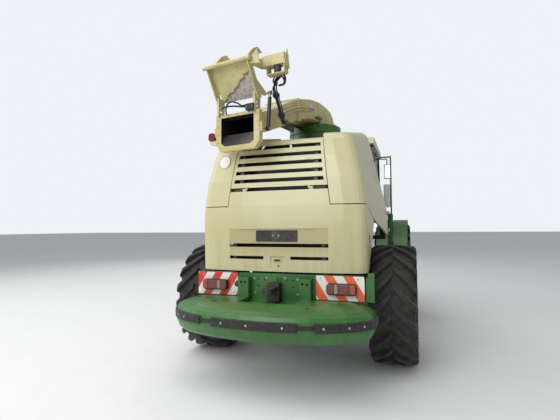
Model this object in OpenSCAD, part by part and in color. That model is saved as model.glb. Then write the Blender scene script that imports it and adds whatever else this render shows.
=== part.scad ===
// Self-propelled forage harvester without its crop header, parked on its four wheels.
// Millimetres. X to the machine's right, Y forward, Z up, ground at Z 0.

/* [Wheels] */
// Distance between the axles
wheelbase = 3200; // [3100:10:3300]
// Front tyre outer diameter, over the lugs
front_tyre_d = 1900; // [1850:10:1940]
// Front tyre section width
front_tyre_w = 700; // [620:10:740]
// Front tyre centre from the machine's middle
front_wheel_x = 1200; // [1180:5:1250]
// Front rim seat diameter
front_rim_d = 820; // [760:10:860]
// Rear tyre outer diameter, over the lugs
rear_tyre_d = 1580; // [1500:10:1600]
// Rear tyre section width
rear_tyre_w = 600; // [540:10:620]
// Rear tyre centre from the machine's middle
rear_wheel_x = 1350; // [1320:5:1370]
// Rear rim seat diameter
rear_rim_d = 720; // [660:10:740]

/* [Hood] */
// Half-width of the hood at its rear end, along the bottom edge
hood_rear_hw = 1100; // [1080:5:1110]
// Half-width of the hood at its front end, along the bottom edge
hood_front_hw = 1245; // [1220:5:1260]
// Height of the hood's bottom edge
hood_bottom_z = 1285; // [1260:5:1310]
// Height of the seam over the rear hood
seam_z = 2105; // [2080:5:2130]
// Height of the hood's top at the rear
hood_top_z = 3030; // [3000:10:3050]
// Height of the hood's top at the front
hood_front_top_z = 3400; // [3380:10:3410]
// Thickness of the hood's panels
panel_t = 20; // [14:1:24]
// Gap between two panels
panel_gap = 9; // [7:1:12]
// Number of louvre slots in the grille
louvre_count = 6; // [4:1:6]
// Pitch of the louvre slots
louvre_pitch = 110; // [100:1:112]

/* [Spout] */
// Angle that the parked spout points to the left of straight back
spout_heading = 11; // [8:0.5:13]
// Height of the slewing ring's top
ring_top_z = 3550; // [3540:5:3600]
// Inside width of the spout
spout_w = 500; // [460:5:520]
// Thickness of the spout's sheet
spout_t = 14; // [10:1:20]

/* [Cab] */
// Half-width of the cab
cab_hw = 880; // [850:5:890]
// Height of the cab's floor
cab_floor_z = 1960; // [1950:5:2000]
// Height of the cab's roof
cab_top_z = 3640; // [3580:10:3700]
// Thickness of the cab's walls
cab_t = 50; // [40:1:60]

/* [Hidden] */

rear_axle_y = -150 - wheelbase / 2;
front_axle_y = rear_axle_y + wheelbase;
rear_axle_z = rear_tyre_d / 2;
front_axle_z = front_tyre_d / 2;
// Underside of the front axle's beam
axle_foot_z = front_axle_z - 190;
run_gap = 0.05;
seat_gap = 0.3;

// Unit vector of v
function unit(v) = v / norm(v);
// Points of the arc of radius r that rounds corner b between a and c
function fillet(a, b, c, r, n) =
    let (u = unit(a - b), w = unit(c - b), half = acos(u * w) / 2, m = b + unit(u + w) * r / sin(half),
        s = b + u * r / tan(half) - m, e = b + w * r / tan(half) - m, a0 = atan2(s.y, s.x),
        sweep = ((atan2(e.y, e.x) - a0 + 540) % 360) - 180)
    [for (i = [0:n]) m + r * [cos(a0 + sweep * i / n), sin(a0 + sweep * i / n)]];
// Outline of points [x, y, corner radius]
function rounded(pts, n = 5) =
    [for (i = [0:len(pts) - 1])
        let (b = pts[i], a = pts[(i + len(pts) - 1) % len(pts)], c = pts[(i + 1) % len(pts)])
        each (b.z > 0 ? fillet([a.x, a.y], [b.x, b.y], [c.x, c.y], b.z, n) : [[b.x, b.y]])];

// Outline in X and Z, extruded from y0 to y1
module along_y(y0, y1) {
    translate([0, y1, 0])
        rotate([90, 0, 0])
            linear_extrude(y1 - y0)
                children();
}
// Outline in Y and Z, extruded from x0 to x1
module along_x(x0, x1) {
    translate([x0, 0, 0])
        rotate([90, 0, 90])
            linear_extrude(x1 - x0)
                children();
}
module box(lo, hi) {
    translate(lo)
        cube(hi - lo);
}
module both_sides() {
    for (side = [-1, 1])
        scale_x(side)
            children();
}
module scale_x(side) {
    if (side > 0)
        children();
    else
        mirror([1, 0, 0])
            children();
}
// Round bar from x0 to x1 at y, z
module bar_x(x0, x1, y, z, r) {
    translate([x0, y, z])
        rotate([0, 90, 0])
            cylinder(h = x1 - x0, r = r, $fn = 64);
}
// Round bar between two points
module bar(p, q, r) {
    d = q - p;
    translate(p)
        rotate([0, acos(d.z / norm(d)), atan2(d.y, d.x)])
            cylinder(h = norm(d), r = r, $fn = 48);
}

// Chassis
rail_x = 340;
rail_w = 120;
rail_z0 = 900;
rail_z1 = 1120;
rail_y1 = front_axle_y + 340;
beam_y = rear_axle_y - 1050;
beam_t = 70;
beam_z0 = 960;
beam_z1 = 1262;

module chassis_frame() {
    color("forestgreen") {
        both_sides()
            box([rail_x, beam_y + beam_t, rail_z0], [rail_x + rail_w, rail_y1, rail_z1]);
        for (y = [beam_y + beam_t, rear_axle_y + 500, rear_axle_y + 1500, front_axle_y - 500])
            box([-rail_x, y, rail_z0 + 20], [rail_x, y + 120, rail_z1 - 20]);
        both_sides() {
            // Posts under the cab, with the arms that carry the fenders
            for (y = [front_axle_y - 760, rail_y1 - 120])
                box([rail_x, y, rail_z1], [rail_x + rail_w, y + 120, cab_floor_z - 100]);
            box([rail_x, front_axle_y - 760, cab_floor_z - 100],
                [rail_x + rail_w, front_axle_y + 640, cab_floor_z]);
            box([rail_x, front_axle_y - 20, cab_floor_z - 36],
                [fender_x0, front_axle_y + 20, cab_floor_z - 6]);
        }
    }
}

plate_w = 564;
plate_h = 282;
plate_t = 5;
plate_x = hood_rear_hw - panel_t - 7;
beam_hw = plate_x - 10;
plate_top_z = beam_z1;
bracket_x0 = 325;
bracket_x1 = 464;
pocket_hw = 340;
pocket_z = 900;
shelf_z = 925;

// Rear cross beam with the hitch box, its brackets and the arms of the warning plates
module rear_beam() {
    color("forestgreen")
    difference() {
        union() {
            box([-beam_hw, beam_y, beam_z0 + 40], [beam_hw, beam_y + beam_t, beam_z1]);
            box([-520, beam_y - 20, pocket_z + seat_gap], [520, beam_y, beam_z1 - 30]);
            // Shelf of the hitch, and the box brackets beside it
            box([-pocket_hw + 10, beam_y - 120, pocket_z + seat_gap],
                [pocket_hw - 10, beam_y - 20, shelf_z]);
            both_sides() {
                box([bracket_x0, beam_y - 120, bumper_z1 + seat_gap],
                    [bracket_x1, beam_y - 106, beam_z1 - 40]);
                for (x = [bracket_x0, bracket_x1 - 14])
                    box([x, beam_y - 120, bumper_z1 + seat_gap], [x + 14, beam_y - 20, beam_z1 - 40]);
                box([400, bumper_front_y + seat_gap, pocket_z + seat_gap],
                    [460, beam_y - 20, shelf_z + 20]);
            }
            // Plate at the right end, cut back where the rear hood's corner swings past
            box([plate_x + 14, beam_y + 8, beam_z0 + 10], [plate_x + 108, beam_y + 20, beam_z1 - 8]);
            box([hood_rear_hw + 8, beam_y + 8, beam_z0 + 10], [plate_x + 108, beam_y + 20, beam_z1 + 40]);
            box([beam_hw - 10, beam_y + 20, beam_z0 + 60], [plate_x + 60, beam_y + 40, beam_z1 - 60]);
        }
        both_sides() {
            for (x = [bracket_x0 + 42, bracket_x1 - 42])
                translate([x, beam_y - 90, beam_z1 - 100])
                    rotate([90, 0, 0])
                        cylinder(h = 60, r = 15, $fn = 32);
            for (hole = [[225, 70], [225, 150], [150, 70]])
                translate([hole.x, beam_y + beam_t / 2, beam_z1 - hole.y])
                    rotate([90, 0, 0])
                        cylinder(h = beam_t + 40, r = 9, $fn = 24);
        }
    }
}

bumper_hw = 1207;
bumper_front_y = rear_axle_y - 1120;
bumper_wide_y = bumper_front_y - 170;
bumper_rear_y = rear_axle_y - 1830;
strip_z0 = 765;
strip_z1 = 855;
strip_t = 20;
// Levels of the bumper's rounded form: how far its outline grows, and its height
bumper_levels = [[-75, 622], [-30, 655], [0, 730], [0, 864], [-22, 902], [-85, 938], [-290, 974]];
bumper_z1 = bumper_levels[len(bumper_levels) - 1][1] + 1;
// Half ellipse behind y, grown by g
function bumper_outline(g) =
    [for (i = [0:24]) let (a = 180 + 7.5 * i)
        [(bumper_hw + g) * cos(a), bumper_wide_y + (bumper_wide_y - bumper_rear_y + g) * sin(a)]];

module bumper_slab(g, z0, z1) {
    translate([0, 0, z0])
        linear_extrude(z1 - z0)
            polygon(concat(bumper_outline(g), [[bumper_hw + g, bumper_front_y],
                [-bumper_hw - g, bumper_front_y]]));
}
module bumper() {
    color("green")
    difference() {
        hull()
            for (level = bumper_levels)
                let (growth = level[0], z = level[1])
                    bumper_slab(growth, z, z + 1);
        box([-pocket_hw, bumper_front_y - 320, pocket_z], [pocket_hw, bumper_front_y + 10, 1000]);
        // Hollow underside
        bumper_slab(-130, 600, 840);
    }
}
module bumper_strip() {
    color("black")
    intersection() {
        difference() {
            bumper_slab(strip_t, strip_z0, strip_z1);
            bumper_slab(0, strip_z0 - 1, strip_z1 + 1);
        }
        union() {
            for (span = [[-1240, -660], [-500, 480], [645, 1240]])
                box([span[0], bumper_rear_y - 200, 0], [span[1], bumper_front_y - 5, 2000]);
            intersection() {
                bumper_slab(strip_t / 2, strip_z0 + 22, strip_z1 - 22);
                box([-700, bumper_rear_y - 200, 0], [700, bumper_front_y - 5, 2000]);
            }
        }
    }
}

pin_r = 19;
// Towing jaw with its pin hole
module hitch() {
    color([0.1, 0.1, 0.1])
    difference() {
        union() {
            box([-75, beam_y - 130, shelf_z + seat_gap], [75, beam_y - 20 - seat_gap, 1160]);
            for (z = [905, 1075]) {
                box([-60, beam_y - 290, z], [60, beam_y - 120 - (z < shelf_z ? 10 : 0), z + 50]);
                translate([0, beam_y - 290, z])
                    cylinder(h = 50, r = 64, $fn = 48);
            }
            // Release lever and the pin's knob
            box([36, beam_y - 84, 1120], [54, beam_y - 72, 1226]);
            bar_x(-96, -65, beam_y - 90, 1100, 22);
        }
        translate([0, beam_y - 290, 800])
            cylinder(h = 500, r = pin_r, $fn = 48);
    }
}
module warning_plates() {
    color("white")
    both_sides()
        box([plate_x - plate_w, beam_y - 26, plate_top_z - plate_h], [plate_x, beam_y - 20, plate_top_z]);
}
module tail_lamps() {
    color("darkred")
    both_sides()
        along_y(beam_y - 90, beam_y - 26 - seat_gap)
            polygon(rounded([[640, plate_top_z - 215, 35], [985, plate_top_z - 215, 35],
                [985, plate_top_z - 85, 35], [640, plate_top_z - 85, 35]]));
}

module engine() {
    color("dimgray")
        box([-430, rear_axle_y - 555, rail_z1], [430, rear_axle_y + 450, 2150]);
}
// Radiator block behind the grille
module cooling_pack() {
    color([0.08, 0.08, 0.08])
    difference() {
        union() {
            box([-700, rear_axle_y - 725, 1330], [700, rear_axle_y - 595, 2880]);
            for (x = [-rail_x - rail_w, rail_x])
                box([x, rear_axle_y - 725, rail_z1], [x + rail_w, rear_axle_y - 595, 1340]);
        }
        for (i = [0:6])
            box([-660 + 190 * i, rear_axle_y - 740, 1370], [-660 + 190 * i + 175, rear_axle_y - 712, 2840]);
    }
}

// Axles: beam, king pins and stub shafts
kingpin_x = 1090;
kingpin_r = 40;
eye_r = 95;
eye_h = 170;
stub_r = 60;
front_stub_r = 90;
axle_half = 170;
module axles() {
    color("darkgreen") {
        difference() {
            union() {
                box([-kingpin_x, rear_axle_y - 90, rear_axle_z - eye_h / 2],
                    [kingpin_x, rear_axle_y + 90, rear_axle_z + eye_h / 2]);
                both_sides()
                    translate([kingpin_x, rear_axle_y, rear_axle_z - eye_h / 2])
                        cylinder(h = eye_h, r = eye_r, $fn = 64);
                both_sides()
                    box([rail_x, rear_axle_y - 80, rear_axle_z + eye_h / 2],
                        [rail_x + rail_w, rear_axle_y + 80, rail_z0]);
            }
            both_sides()
                translate([kingpin_x, rear_axle_y, 0])
                    cylinder(h = 2000, r = kingpin_r + run_gap, $fn = 64);
        }
        box([-760, front_axle_y - axle_half, axle_foot_z], [760, front_axle_y + axle_half, rail_z0]);
        both_sides()
            bar_x(760, front_wheel_x + 60, front_axle_y, front_axle_z, front_stub_r);
    }
}
module knuckle(side) {
    color("darkgreen")
    scale_x(side) {
        translate([kingpin_x, rear_axle_y, rear_axle_z - eye_h / 2 - 50])
            cylinder(h = eye_h + 100, r = kingpin_r, $fn = 64);
        for (z = [-eye_h / 2 - 50, eye_h / 2 + 5])
            hull() {
                translate([kingpin_x, rear_axle_y, rear_axle_z + z])
                    cylinder(h = 45, r = 80, $fn = 32);
                translate([kingpin_x + 120, rear_axle_y - 80, rear_axle_z + z])
                    cube([40, 160, 45]);
            }
        box([kingpin_x + 120, rear_axle_y - 80, rear_axle_z - eye_h / 2 - 50],
            [kingpin_x + 160, rear_axle_y + 80, rear_axle_z + eye_h / 2 + 50]);
        bar_x(kingpin_x + 160, rear_wheel_x + 60, rear_axle_y, rear_axle_z, stub_r);
    }
}
module knuckle_left() {
    knuckle(-1);
}
module knuckle_right() {
    knuckle(1);
}

// Tyre about the X axis, with its slanted lugs
lug_count = 16;
lug_h = 45;
lug_sweep = 22;
// Corners of one lug as [share of the pitch, depth under the tread's top]
lug_corners = [[0, lug_h], [0.6, lug_h], [0.66, 0], [0.94, 0]];
module tyre(w, d, rim_d) {
    h = w / 2;
    r = d / 2 - lug_h;
    mid = rim_d / 2 + 0.5 * (r - rim_d / 2);
    rotate([0, 90, 0])
        rotate_extrude($fn = 32)
            rotate(90)
                polygon([[-h * 0.72, rim_d / 2], [h * 0.72, rim_d / 2], [h * 0.985, mid], [h, r - 90],
                    [h * 0.94, r - 40], [-h * 0.94, r - 40], [-h, r - 90], [-h * 0.985, mid]]);
    // Slanted lugs on either half of the tread
    for (side = [-1, 1])
        rotate([side * 90 / lug_count, 0, 0])
            scale_x(side)
                rotate([0, 90, 0])
                    linear_extrude(height = h * 0.96, twist = -lug_sweep, slices = 2, scale = 0.985)
                        difference() {
                            polygon([for (i = [0:lug_count - 1], c = lug_corners)
                                let (a = (i + c[0]) * 360 / lug_count) (d / 2 - c[1]) * [cos(a), sin(a)]]);
                            circle(r - 120, $fn = 32);
                        }
}
module rim(w, rim_d, bore_r) {
    r = rim_d / 2;
    h = w * 0.36;
    rotate([0, 90, 0])
        rotate_extrude($fn = 96)
            rotate(90)
                polygon([[-h, r], [-h, r - 60], [-h + 16, r - 60], [-h + 30, r - 25], [10, r - 25],
                    [40, r - 60], [60, 240], [0, 200], [0, 150], [-60, 150], [-60, bore_r], [70, bore_r],
                    [70, 170], [20, 190], [80, 240], [80, r - 60], [h - 30, r - 30], [h - 16, r - 60],
                    [h, r - 60], [h, r]]);
}
module rear_tyre(side) {
    color([0.1, 0.09, 0.08])
    translate([side * rear_wheel_x, rear_axle_y, rear_axle_z])
        tyre(rear_tyre_w, rear_tyre_d, rear_rim_d);
}
module front_tyre(side) {
    color([0.1, 0.09, 0.08])
    translate([side * front_wheel_x, front_axle_y, front_axle_z])
        tyre(front_tyre_w, front_tyre_d, front_rim_d);
}
module rear_rim(side) {
    color("ivory")
    translate([side * rear_wheel_x, rear_axle_y, rear_axle_z])
        scale_x(side)
            rim(rear_tyre_w, rear_rim_d, stub_r + run_gap);
}
module front_rim(side) {
    color("ivory")
    translate([side * front_wheel_x, front_axle_y, front_axle_z])
        scale_x(side)
            rim(front_tyre_w, front_rim_d, front_stub_r + run_gap);
}
module tyre_rear_left() {
    rear_tyre(-1);
}
module tyre_rear_right() {
    rear_tyre(1);
}
module tyre_front_left() {
    front_tyre(-1);
}
module tyre_front_right() {
    front_tyre(1);
}
module rim_rear_left() {
    rear_rim(-1);
}
module rim_rear_right() {
    rear_rim(1);
}
module rim_front_left() {
    front_rim(-1);
}
module rim_front_right() {
    front_rim(1);
}

// Fuel tanks between the wheels
tank_x0 = rail_x + rail_w;
tank_x1 = 1170;
tank_y0 = rear_axle_y + 1130;
tank_y1 = front_axle_y - 1170;
tank_z0 = 720;
tank_z1 = 1440;
module tanks() {
    color([0.16, 0.16, 0.15])
    both_sides()
        along_x(tank_x0, tank_x1)
            polygon(rounded([[tank_y0, tank_z0, 60], [tank_y1, tank_z0, 60], [tank_y1, tank_z1, 60],
                [tank_y0, tank_z1, 60]]));
}

fender_r = front_tyre_d / 2 + 70;
fender_t = 12;
fender_x0 = 905;
fender_x1 = 1500;
module fenders() {
    color("forestgreen")
    both_sides()
        translate([fender_x0, front_axle_y, front_axle_z])
            rotate([90, 0, 90])
                rotate([0, 0, 25])
                    intersection() {
                        difference() {
                            cylinder(h = fender_x1 - fender_x0, r = fender_r + fender_t, $fn = 96);
                            translate([0, 0, fender_t])
                                cylinder(h = fender_x1 - fender_x0, r = fender_r, $fn = 96);
                            translate([0, 0, -1])
                                cylinder(h = 50, r = front_tyre_d / 2 + 12, $fn = 96);
                        }
                        translate([-1200, 350, -10])
                            cube([2400, 1200, 1000]);
                    }
}

walk_z = front_axle_z + fender_r + fender_t + seat_gap;
walk_y0 = front_axle_y - 780;
walk_y1 = front_axle_y + 760;
ladder_y = front_axle_y + 1090;
ladder_x0 = 960;
ladder_x1 = 1420;
module platforms() {
    color("forestgreen") {
        // Left walkway beside the cab and its ladder
        box([-1480, walk_y0, walk_z], [-cab_hw - seat_gap, walk_y1 + 450, walk_z + 30]);
        for (x = [-ladder_x1, -ladder_x0])
            bar([x, ladder_y + 100, walk_z], [x, ladder_y + 320, 480], 18);
        for (i = [0:4])
            let (z = 520 + 330 * i, y = ladder_y + 320 - 220 * (z - 480) / (walk_z - 480))
                box([-ladder_x1, y - 70, z - 12], [-ladder_x0, y + 70, z + 12]);
        for (y = [walk_y0 + 30, walk_y0 + 230])
            bar([-1450, y, walk_z + 30], [-1450, y, walk_z + 930], 16);
        bar([-1450, walk_y0 + 14, walk_z + 930], [-1450, walk_y0 + 246, walk_z + 930], 16);
        for (x = [-ladder_x1, -ladder_x0])
            bar([x, ladder_y + 60, walk_z + 20], [x, ladder_y + 60, walk_z + 900], 16);
        // Right service ladder between the wheels
        box([tank_x1 + 20, -340, 560], [tank_x1 + 90, -310, 2070]);
        box([tank_x1 + 20, 100, 560], [tank_x1 + 90, 130, 2070]);
        for (i = [0:4])
            box([tank_x1 + 30, -310, 600 + 330 * i], [tank_x1 + 90, 100, 625 + 330 * i]);
        box([tank_x1, -340, 1300], [tank_x1 + 20, 130, 1400]);
        bar([tank_x1 + 65, 115, 2060], [tank_x1 + 65, 115, 3150], 14);
        bar([tank_x1 + 65, 115, 3136], [rail_x, 115, 3136], 14);
        bar([rail_x + 30, 115, 3136], [rail_x + 30, 115, rail_z1], 14);
    }
}

// Cab side outline as [y, z, corner radius], shrunk by g
cab_y0 = front_axle_y - 900;
cab_y1 = front_axle_y + 830;
function cab_side(g) = rounded([
    [cab_y0 + g, cab_floor_z + g, 40], [cab_y1 - 120 - g, cab_floor_z + g, 60],
    [cab_y1 - g, cab_floor_z + 620, 200], [cab_y1 - 220 - g, cab_top_z - 150 - g, 50],
    [cab_y0 + 60 + g, cab_top_z - 150 - g, 50]]);
door_y0 = cab_y0 + 420;
door_y1 = cab_y1 - 190;
door_z0 = cab_floor_z + 110;
door_z1 = cab_top_z - 230;
module cab_hole(g) {
    polygon(rounded([[door_y0 - g, door_z0 - g, 40], [door_y1 - 40 + g, door_z0 - g, 60],
        [door_y1 + 60 + g, door_z0 + 560, 150],
        [door_y1 - 110 + g, door_z1 + g, 60], [door_y0 - g, door_z1 + g, 60]]));
}
module quarter_window() {
    polygon([[cab_y0 + 110, cab_floor_z + 560], [door_y0 - 70, cab_floor_z + 560],
        [door_y0 - 70, cab_top_z - 260], [cab_y0 + 130, cab_top_z - 260]]);
}
door_hinge_z = [door_z0 + 180, door_z1 - 260];
module cab_frame() {
    color([0.12, 0.13, 0.13]) {
    // Hinge pins of the door
    for (z = door_hinge_z) {
        translate([door_hinge_x, door_hinge_y, z - 16])
            cylinder(h = eye_len + 20, r = pin_hinge_r, $fn = 48);
        box([door_hinge_x - 9, door_hinge_y - 14, z - 16], [-cab_hw + 1, door_hinge_y + 2, z]);
    }
    difference() {
        along_x(-cab_hw, cab_hw)
            polygon(cab_side(0));
        along_x(-cab_hw + cab_t, cab_hw - cab_t)
            polygon(cab_side(cab_t));
        // Door opening and side window, wide windscreen and rear window
        along_x(-cab_hw - 1, cab_hw + 1)
            cab_hole(0);
        box([-cab_hw + 90, cab_y1 - 330, cab_floor_z + 130], [cab_hw - 90, cab_y1 + 50, cab_top_z - 240]);
        box([-cab_hw + 120, cab_y0 - 20, cab_floor_z + 520], [cab_hw - 120, cab_y0 + 200, cab_top_z - 260]);
        along_x(-cab_hw - 1, cab_hw + 1)
            quarter_window();
    }
    }
}
module cab_roof() {
    color("wheat")
        along_x(-cab_hw - 20, cab_hw + 20)
            polygon(rounded([[cab_y0 - 60, cab_top_z - 150, 20], [cab_y1 + 80, cab_top_z - 150, 30],
                [cab_y1 + 40, cab_top_z - 30, 50], [cab_y0, cab_top_z, 60]]));
}
module cab_glass() {
    g = seat_gap;
    color([0.3, 0.35, 0.35, 0.4]) {
        intersection() {
            along_x(-cab_hw + 90 + g, cab_hw - 90 - g)
                difference() {
                    polygon(cab_side(18));
                    polygon(cab_side(26));
                }
            box([-cab_hw, cab_y1 - 330 + g, cab_floor_z + 130 + g],
                [cab_hw, cab_y1 + 50, cab_top_z - 240 - g]);
        }
        box([-cab_hw + 120 + g, cab_y0 + 32, cab_floor_z + 520 + g],
            [cab_hw - 120 - g, cab_y0 + 40, cab_top_z - 260 - g]);
        both_sides()
            along_x(cab_hw - 26, cab_hw - 18)
                offset(delta = -g)
                    quarter_window();
        along_x(cab_hw - 26, cab_hw - 18)
            cab_hole(-g);
    }
}
// Distance of the hinge's axis outside the wall
door_reach = 20;
door_hinge_x = -cab_hw - door_reach;
door_hinge_y = door_y0 - 6;
module cab_door() {
    color([0.12, 0.13, 0.13]) {
        along_x(-cab_hw, -cab_hw + 40)
            difference() {
                cab_hole(-panel_gap);
                cab_hole(-panel_gap - 60);
            }
        for (z = door_hinge_z)
            translate([door_hinge_x, door_hinge_y, z + seat_gap])
                difference() {
                    union() {
                        cylinder(h = eye_len, r = eye_hinge_r - 3, $fn = 48);
                        translate([-4, 0, 0])
                            cube([door_reach - 1, 40, eye_len]);
                        translate([-4, 20, 0])
                            cube([door_reach + 8, 20, eye_len]);
                    }
                    translate([0, 0, -1])
                        cylinder(h = eye_len + 2, r = pin_hinge_r + run_gap, $fn = 48);
                }
    }
}
module door_glass() {
    color([0.3, 0.35, 0.35, 0.4])
        along_x(-cab_hw + 16, -cab_hw + 24)
            cab_hole(-panel_gap - 61);
}
seat_y = front_axle_y - 330;
module seat() {
    color([0.15, 0.15, 0.16]) {
        box([-150, seat_y - 120, cab_floor_z + cab_t], [150, seat_y + 180, cab_floor_z + 330]);
        along_x(-250, 250)
            polygon(rounded([[seat_y - 220, cab_floor_z + 330, 40], [seat_y + 300, cab_floor_z + 330, 50],
                [seat_y + 300, cab_floor_z + 460, 50], [seat_y - 90, cab_floor_z + 440, 20],
                [seat_y - 190, cab_floor_z + 1100, 50], [seat_y - 300, cab_floor_z + 1090, 40]]));
    }
}
module console() {
    color([0.2, 0.2, 0.2]) {
        box([-90, seat_y + 560, cab_floor_z + cab_t], [90, seat_y + 760, cab_floor_z + 250]);
        bar([0, seat_y + 660, cab_floor_z + 240], [0, seat_y + 480, cab_floor_z + 740], 40);
        translate([0, seat_y + 480, cab_floor_z + 740])
            rotate([19.8, 0, 0])
                rotate_extrude($fn = 64)
                    translate([190, 0])
                        circle(r = 16, $fn = 24);
        translate([0, seat_y + 480, cab_floor_z + 740])
            rotate([19.8, 0, 0])
                box([-190, -20, -12], [190, 20, 12]);
        box([280, seat_y - 150, cab_floor_z + cab_t], [480, seat_y + 350, cab_floor_z + 560]);
    }
}

// Feeder house with its two feed rolls, and the cutter drum's housing
feed_hw = 380;
feed_t = 20;
feed_y0 = front_axle_y + 400;
feed_y1 = front_axle_y + 2150;
feed_z0 = 430;
feed_z1 = 1180;
roll_r = 150;
roll_y = feed_y1 - 260;
low_roll_z = feed_z0 + 190;
up_roll_z = low_roll_z + 2 * roll_r + 70;
shaft_r = 30;
flange_w = 640;
flange_hole_x = 540;
flange_hole_z = 300;
flange_z = (feed_z0 + feed_z1) / 2;
module feeder_house() {
    color("forestgreen")
    difference() {
        union() {
            both_sides()
                along_x(feed_hw, feed_hw + feed_t)
                    polygon([[feed_y0, 560], [feed_y1, feed_z0], [feed_y1, feed_z1], [feed_y0, 1300]]);
            box([-feed_hw, feed_y0, 1280], [feed_hw, feed_y0 + 700, 1300]);
            along_x(-feed_hw, feed_hw)
                polygon([[feed_y0, 560], [feed_y1 - 500, feed_z0 + 25], [feed_y1 - 500, feed_z0 + 45],
                    [feed_y0, 580]]);
            // Front flange for a header
            difference() {
                box([-flange_w, feed_y1 - 40, feed_z0 - 20], [flange_w, feed_y1, feed_z1 + 60]);
                box([-feed_hw, feed_y1 - 50, feed_z0], [feed_hw, feed_y1 + 10, feed_z1]);
            }
            // Housing of the cutter drum
            along_x(-470, 470)
                polygon(rounded([[front_axle_y - 1150, 620, 60], [front_axle_y - 200, 520, 60],
                    [feed_y0, 540, 30], [feed_y0, 1320, 10], [rail_y1 + 20, 1320, 10],
                    [rail_y1 + 20, rail_z0 - 20, 0], [front_axle_y - 1150, rail_z0 - 20, 60]]));
            along_x(-rail_x + 15, rail_x - 15)
                polygon([[front_axle_y + 150, rail_z0 - 40], [rail_y1 + 30, rail_z0 - 40],
                    [rail_y1 + 30, 1320], [front_axle_y + 250, 1250]]);
        }
        box([-feed_hw, feed_y0 - 200, 600], [feed_hw, feed_y0 + 10, 1280]);
        both_sides()
            for (z = [low_roll_z, up_roll_z])
                bar_x(feed_hw - 10, feed_hw + feed_t + 10, roll_y, z, shaft_r + run_gap);
        along_x(-480, 480)
            polygon([for (p = [[-1, axle_foot_z - 60], [1, axle_foot_z - 60], [1, 1400], [-1, 1400]])
                [front_axle_y + p.x * (axle_half + seat_gap), p.y]]);
        for (x = [-flange_hole_x, flange_hole_x], z = [-flange_hole_z, flange_hole_z])
            translate([x, feed_y1 - 60, flange_z + z])
                rotate([-90, 0, 0])
                    cylinder(h = 80, r = 13, $fn = 32);
    }
}
module feed_roll(z) {
    color("silver") {
        bar_x(-feed_hw - feed_t - 8, feed_hw + feed_t + 8, roll_y, z, shaft_r);
        difference() {
            bar_x(-feed_hw + 15, feed_hw - 15, roll_y, z, roll_r);
            for (i = [0:7])
                translate([0, roll_y, z])
                    rotate([45 * i, 0, 0])
                        box([-feed_hw, -22, roll_r - 34], [feed_hw, 22, roll_r + 10]);
        }
    }
}
module upper_roll() {
    feed_roll(up_roll_z);
}
module lower_roll() {
    feed_roll(low_roll_z);
}

// Tower that carries the slewing ring
tower_y = rear_axle_y + 1050;
ring_r = 430;
tower_z1 = ring_top_z - 130;
module turret_base() {
    color("forestgreen")
    difference() {
        union() {
            box([-rail_x, tower_y - 290, rail_z1], [rail_x, tower_y + 290, tower_z1]);
            box([-rail_x - rail_w, tower_y - 190, rail_z1], [rail_x + rail_w, tower_y + 290, rail_z1 + 60]);
            translate([0, tower_y, tower_z1 - 90])
                cylinder(h = 90, r = ring_r, $fn = 96);
        }
        box([-rail_x + 30, tower_y - 260, rail_z1 + 80], [rail_x - 30, tower_y + 260, tower_z1 + 10]);
        translate([0, tower_y, tower_z1 - 60])
            cylinder(h = 100, r = 335, $fn = 96);
    }
}

// Hood: one convex form cut into its panels
hood_y0 = rear_axle_y - 900;
hood_y1 = rear_axle_y + 850;
// Levels of its rear end: height, how much narrower than the bottom, and the middle of its face
hood_levels = [[hood_bottom_z, 8, -130], [hood_bottom_z + 600, 0, -136], [seam_z, 8, -130],
    [seam_z + 330, 48, -106], [hood_top_z - 300, 106, -52], [hood_top_z - 95, 160, 2],
    [hood_top_z - 30, 184, 30], [hood_top_z, 230, 84]];
hood_corner = 140;
// Plan outline of the rear end at half-width w, with its face's middle at y
function rear_outline(w, y) = rounded([[w, y + 330, 0], [w, y + 78, hood_corner], [w - 260, y + 24, 0],
    [w - 620, y, 0], [620 - w, y, 0], [260 - w, y + 24, 0], [-w, y + 78, hood_corner],
    [-w, y + 330, 0]], 4);
function front_section(w, z0, z1) = rounded([[w, z0, 0], [w - 30, seam_z, 60], [w - 330, z1, 180],
    [330 - w, z1, 180], [30 - w, seam_z, 60], [-w, z0, 0]]);
// g is how far the form is shrunk inwards, dip how far its top is let down;
// an inner form runs out below and ahead
module hood_form(g, dip = 0) {
    hull() {
        for (level = hood_levels)
            let (z = level[0], narrower = level[1], face = level[2],
                high = max(0, (z - 2600) / (hood_top_z - 2600)))
                translate([0, 0, z - high * (dip + g) - (g > 0 && z == hood_bottom_z ? 100 : 0)])
                    linear_extrude(1)
                        polygon(rear_outline(hood_rear_hw - narrower - g, hood_y0 + face + g));
        along_y(hood_y1 + (g > 0 ? 59 : -1), hood_y1 + (g > 0 ? 60 : 0))
            polygon(front_section(hood_front_hw - g, hood_bottom_z - (g > 0 ? 100 : 0),
                hood_front_top_z - g - dip));
    }
}
module hood_shell(dip = 0) {
    difference() {
        hood_form(0, dip);
        hood_form(panel_t, dip);
    }
}
grille_y1 = hood_y0 + 130;
roof_dip = 55;
roof_hw = 556;
// Half-width of the grille's column at height z
function grille_hw(z) = roof_hw + 0.125 * (hood_top_z - z);
// Lowest slot, which is the gap over the rear hood
slot_z = seam_z + 193;
slot_h = 48;
// The face's middle line as [height, y from hood_y0], and the blades behind it
face_line = [for (level = hood_levels) [level[0], level[2]]];
blade_depth = 90;
blade_rise = 46;
wing_front_z = 1690;
wing_rear_z = 1930;
arch_low_y = hood_y0 + 85;
arch_top_y = hood_y0 + 480;
// Small hinges: pin, eye and the length of one eye
pin_hinge_r = 9;
eye_hinge_r = 17;
eye_len = 45;
wing_hinge_x = hood_front_hw - 6;
wing_hinge_y = hood_y1 + 24;
rear_hinge_y = hood_y0 - 107;
rear_hinge_z = slot_z + slot_h / 2;
rear_hinge_x = 420;
flange_h = 62;

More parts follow.
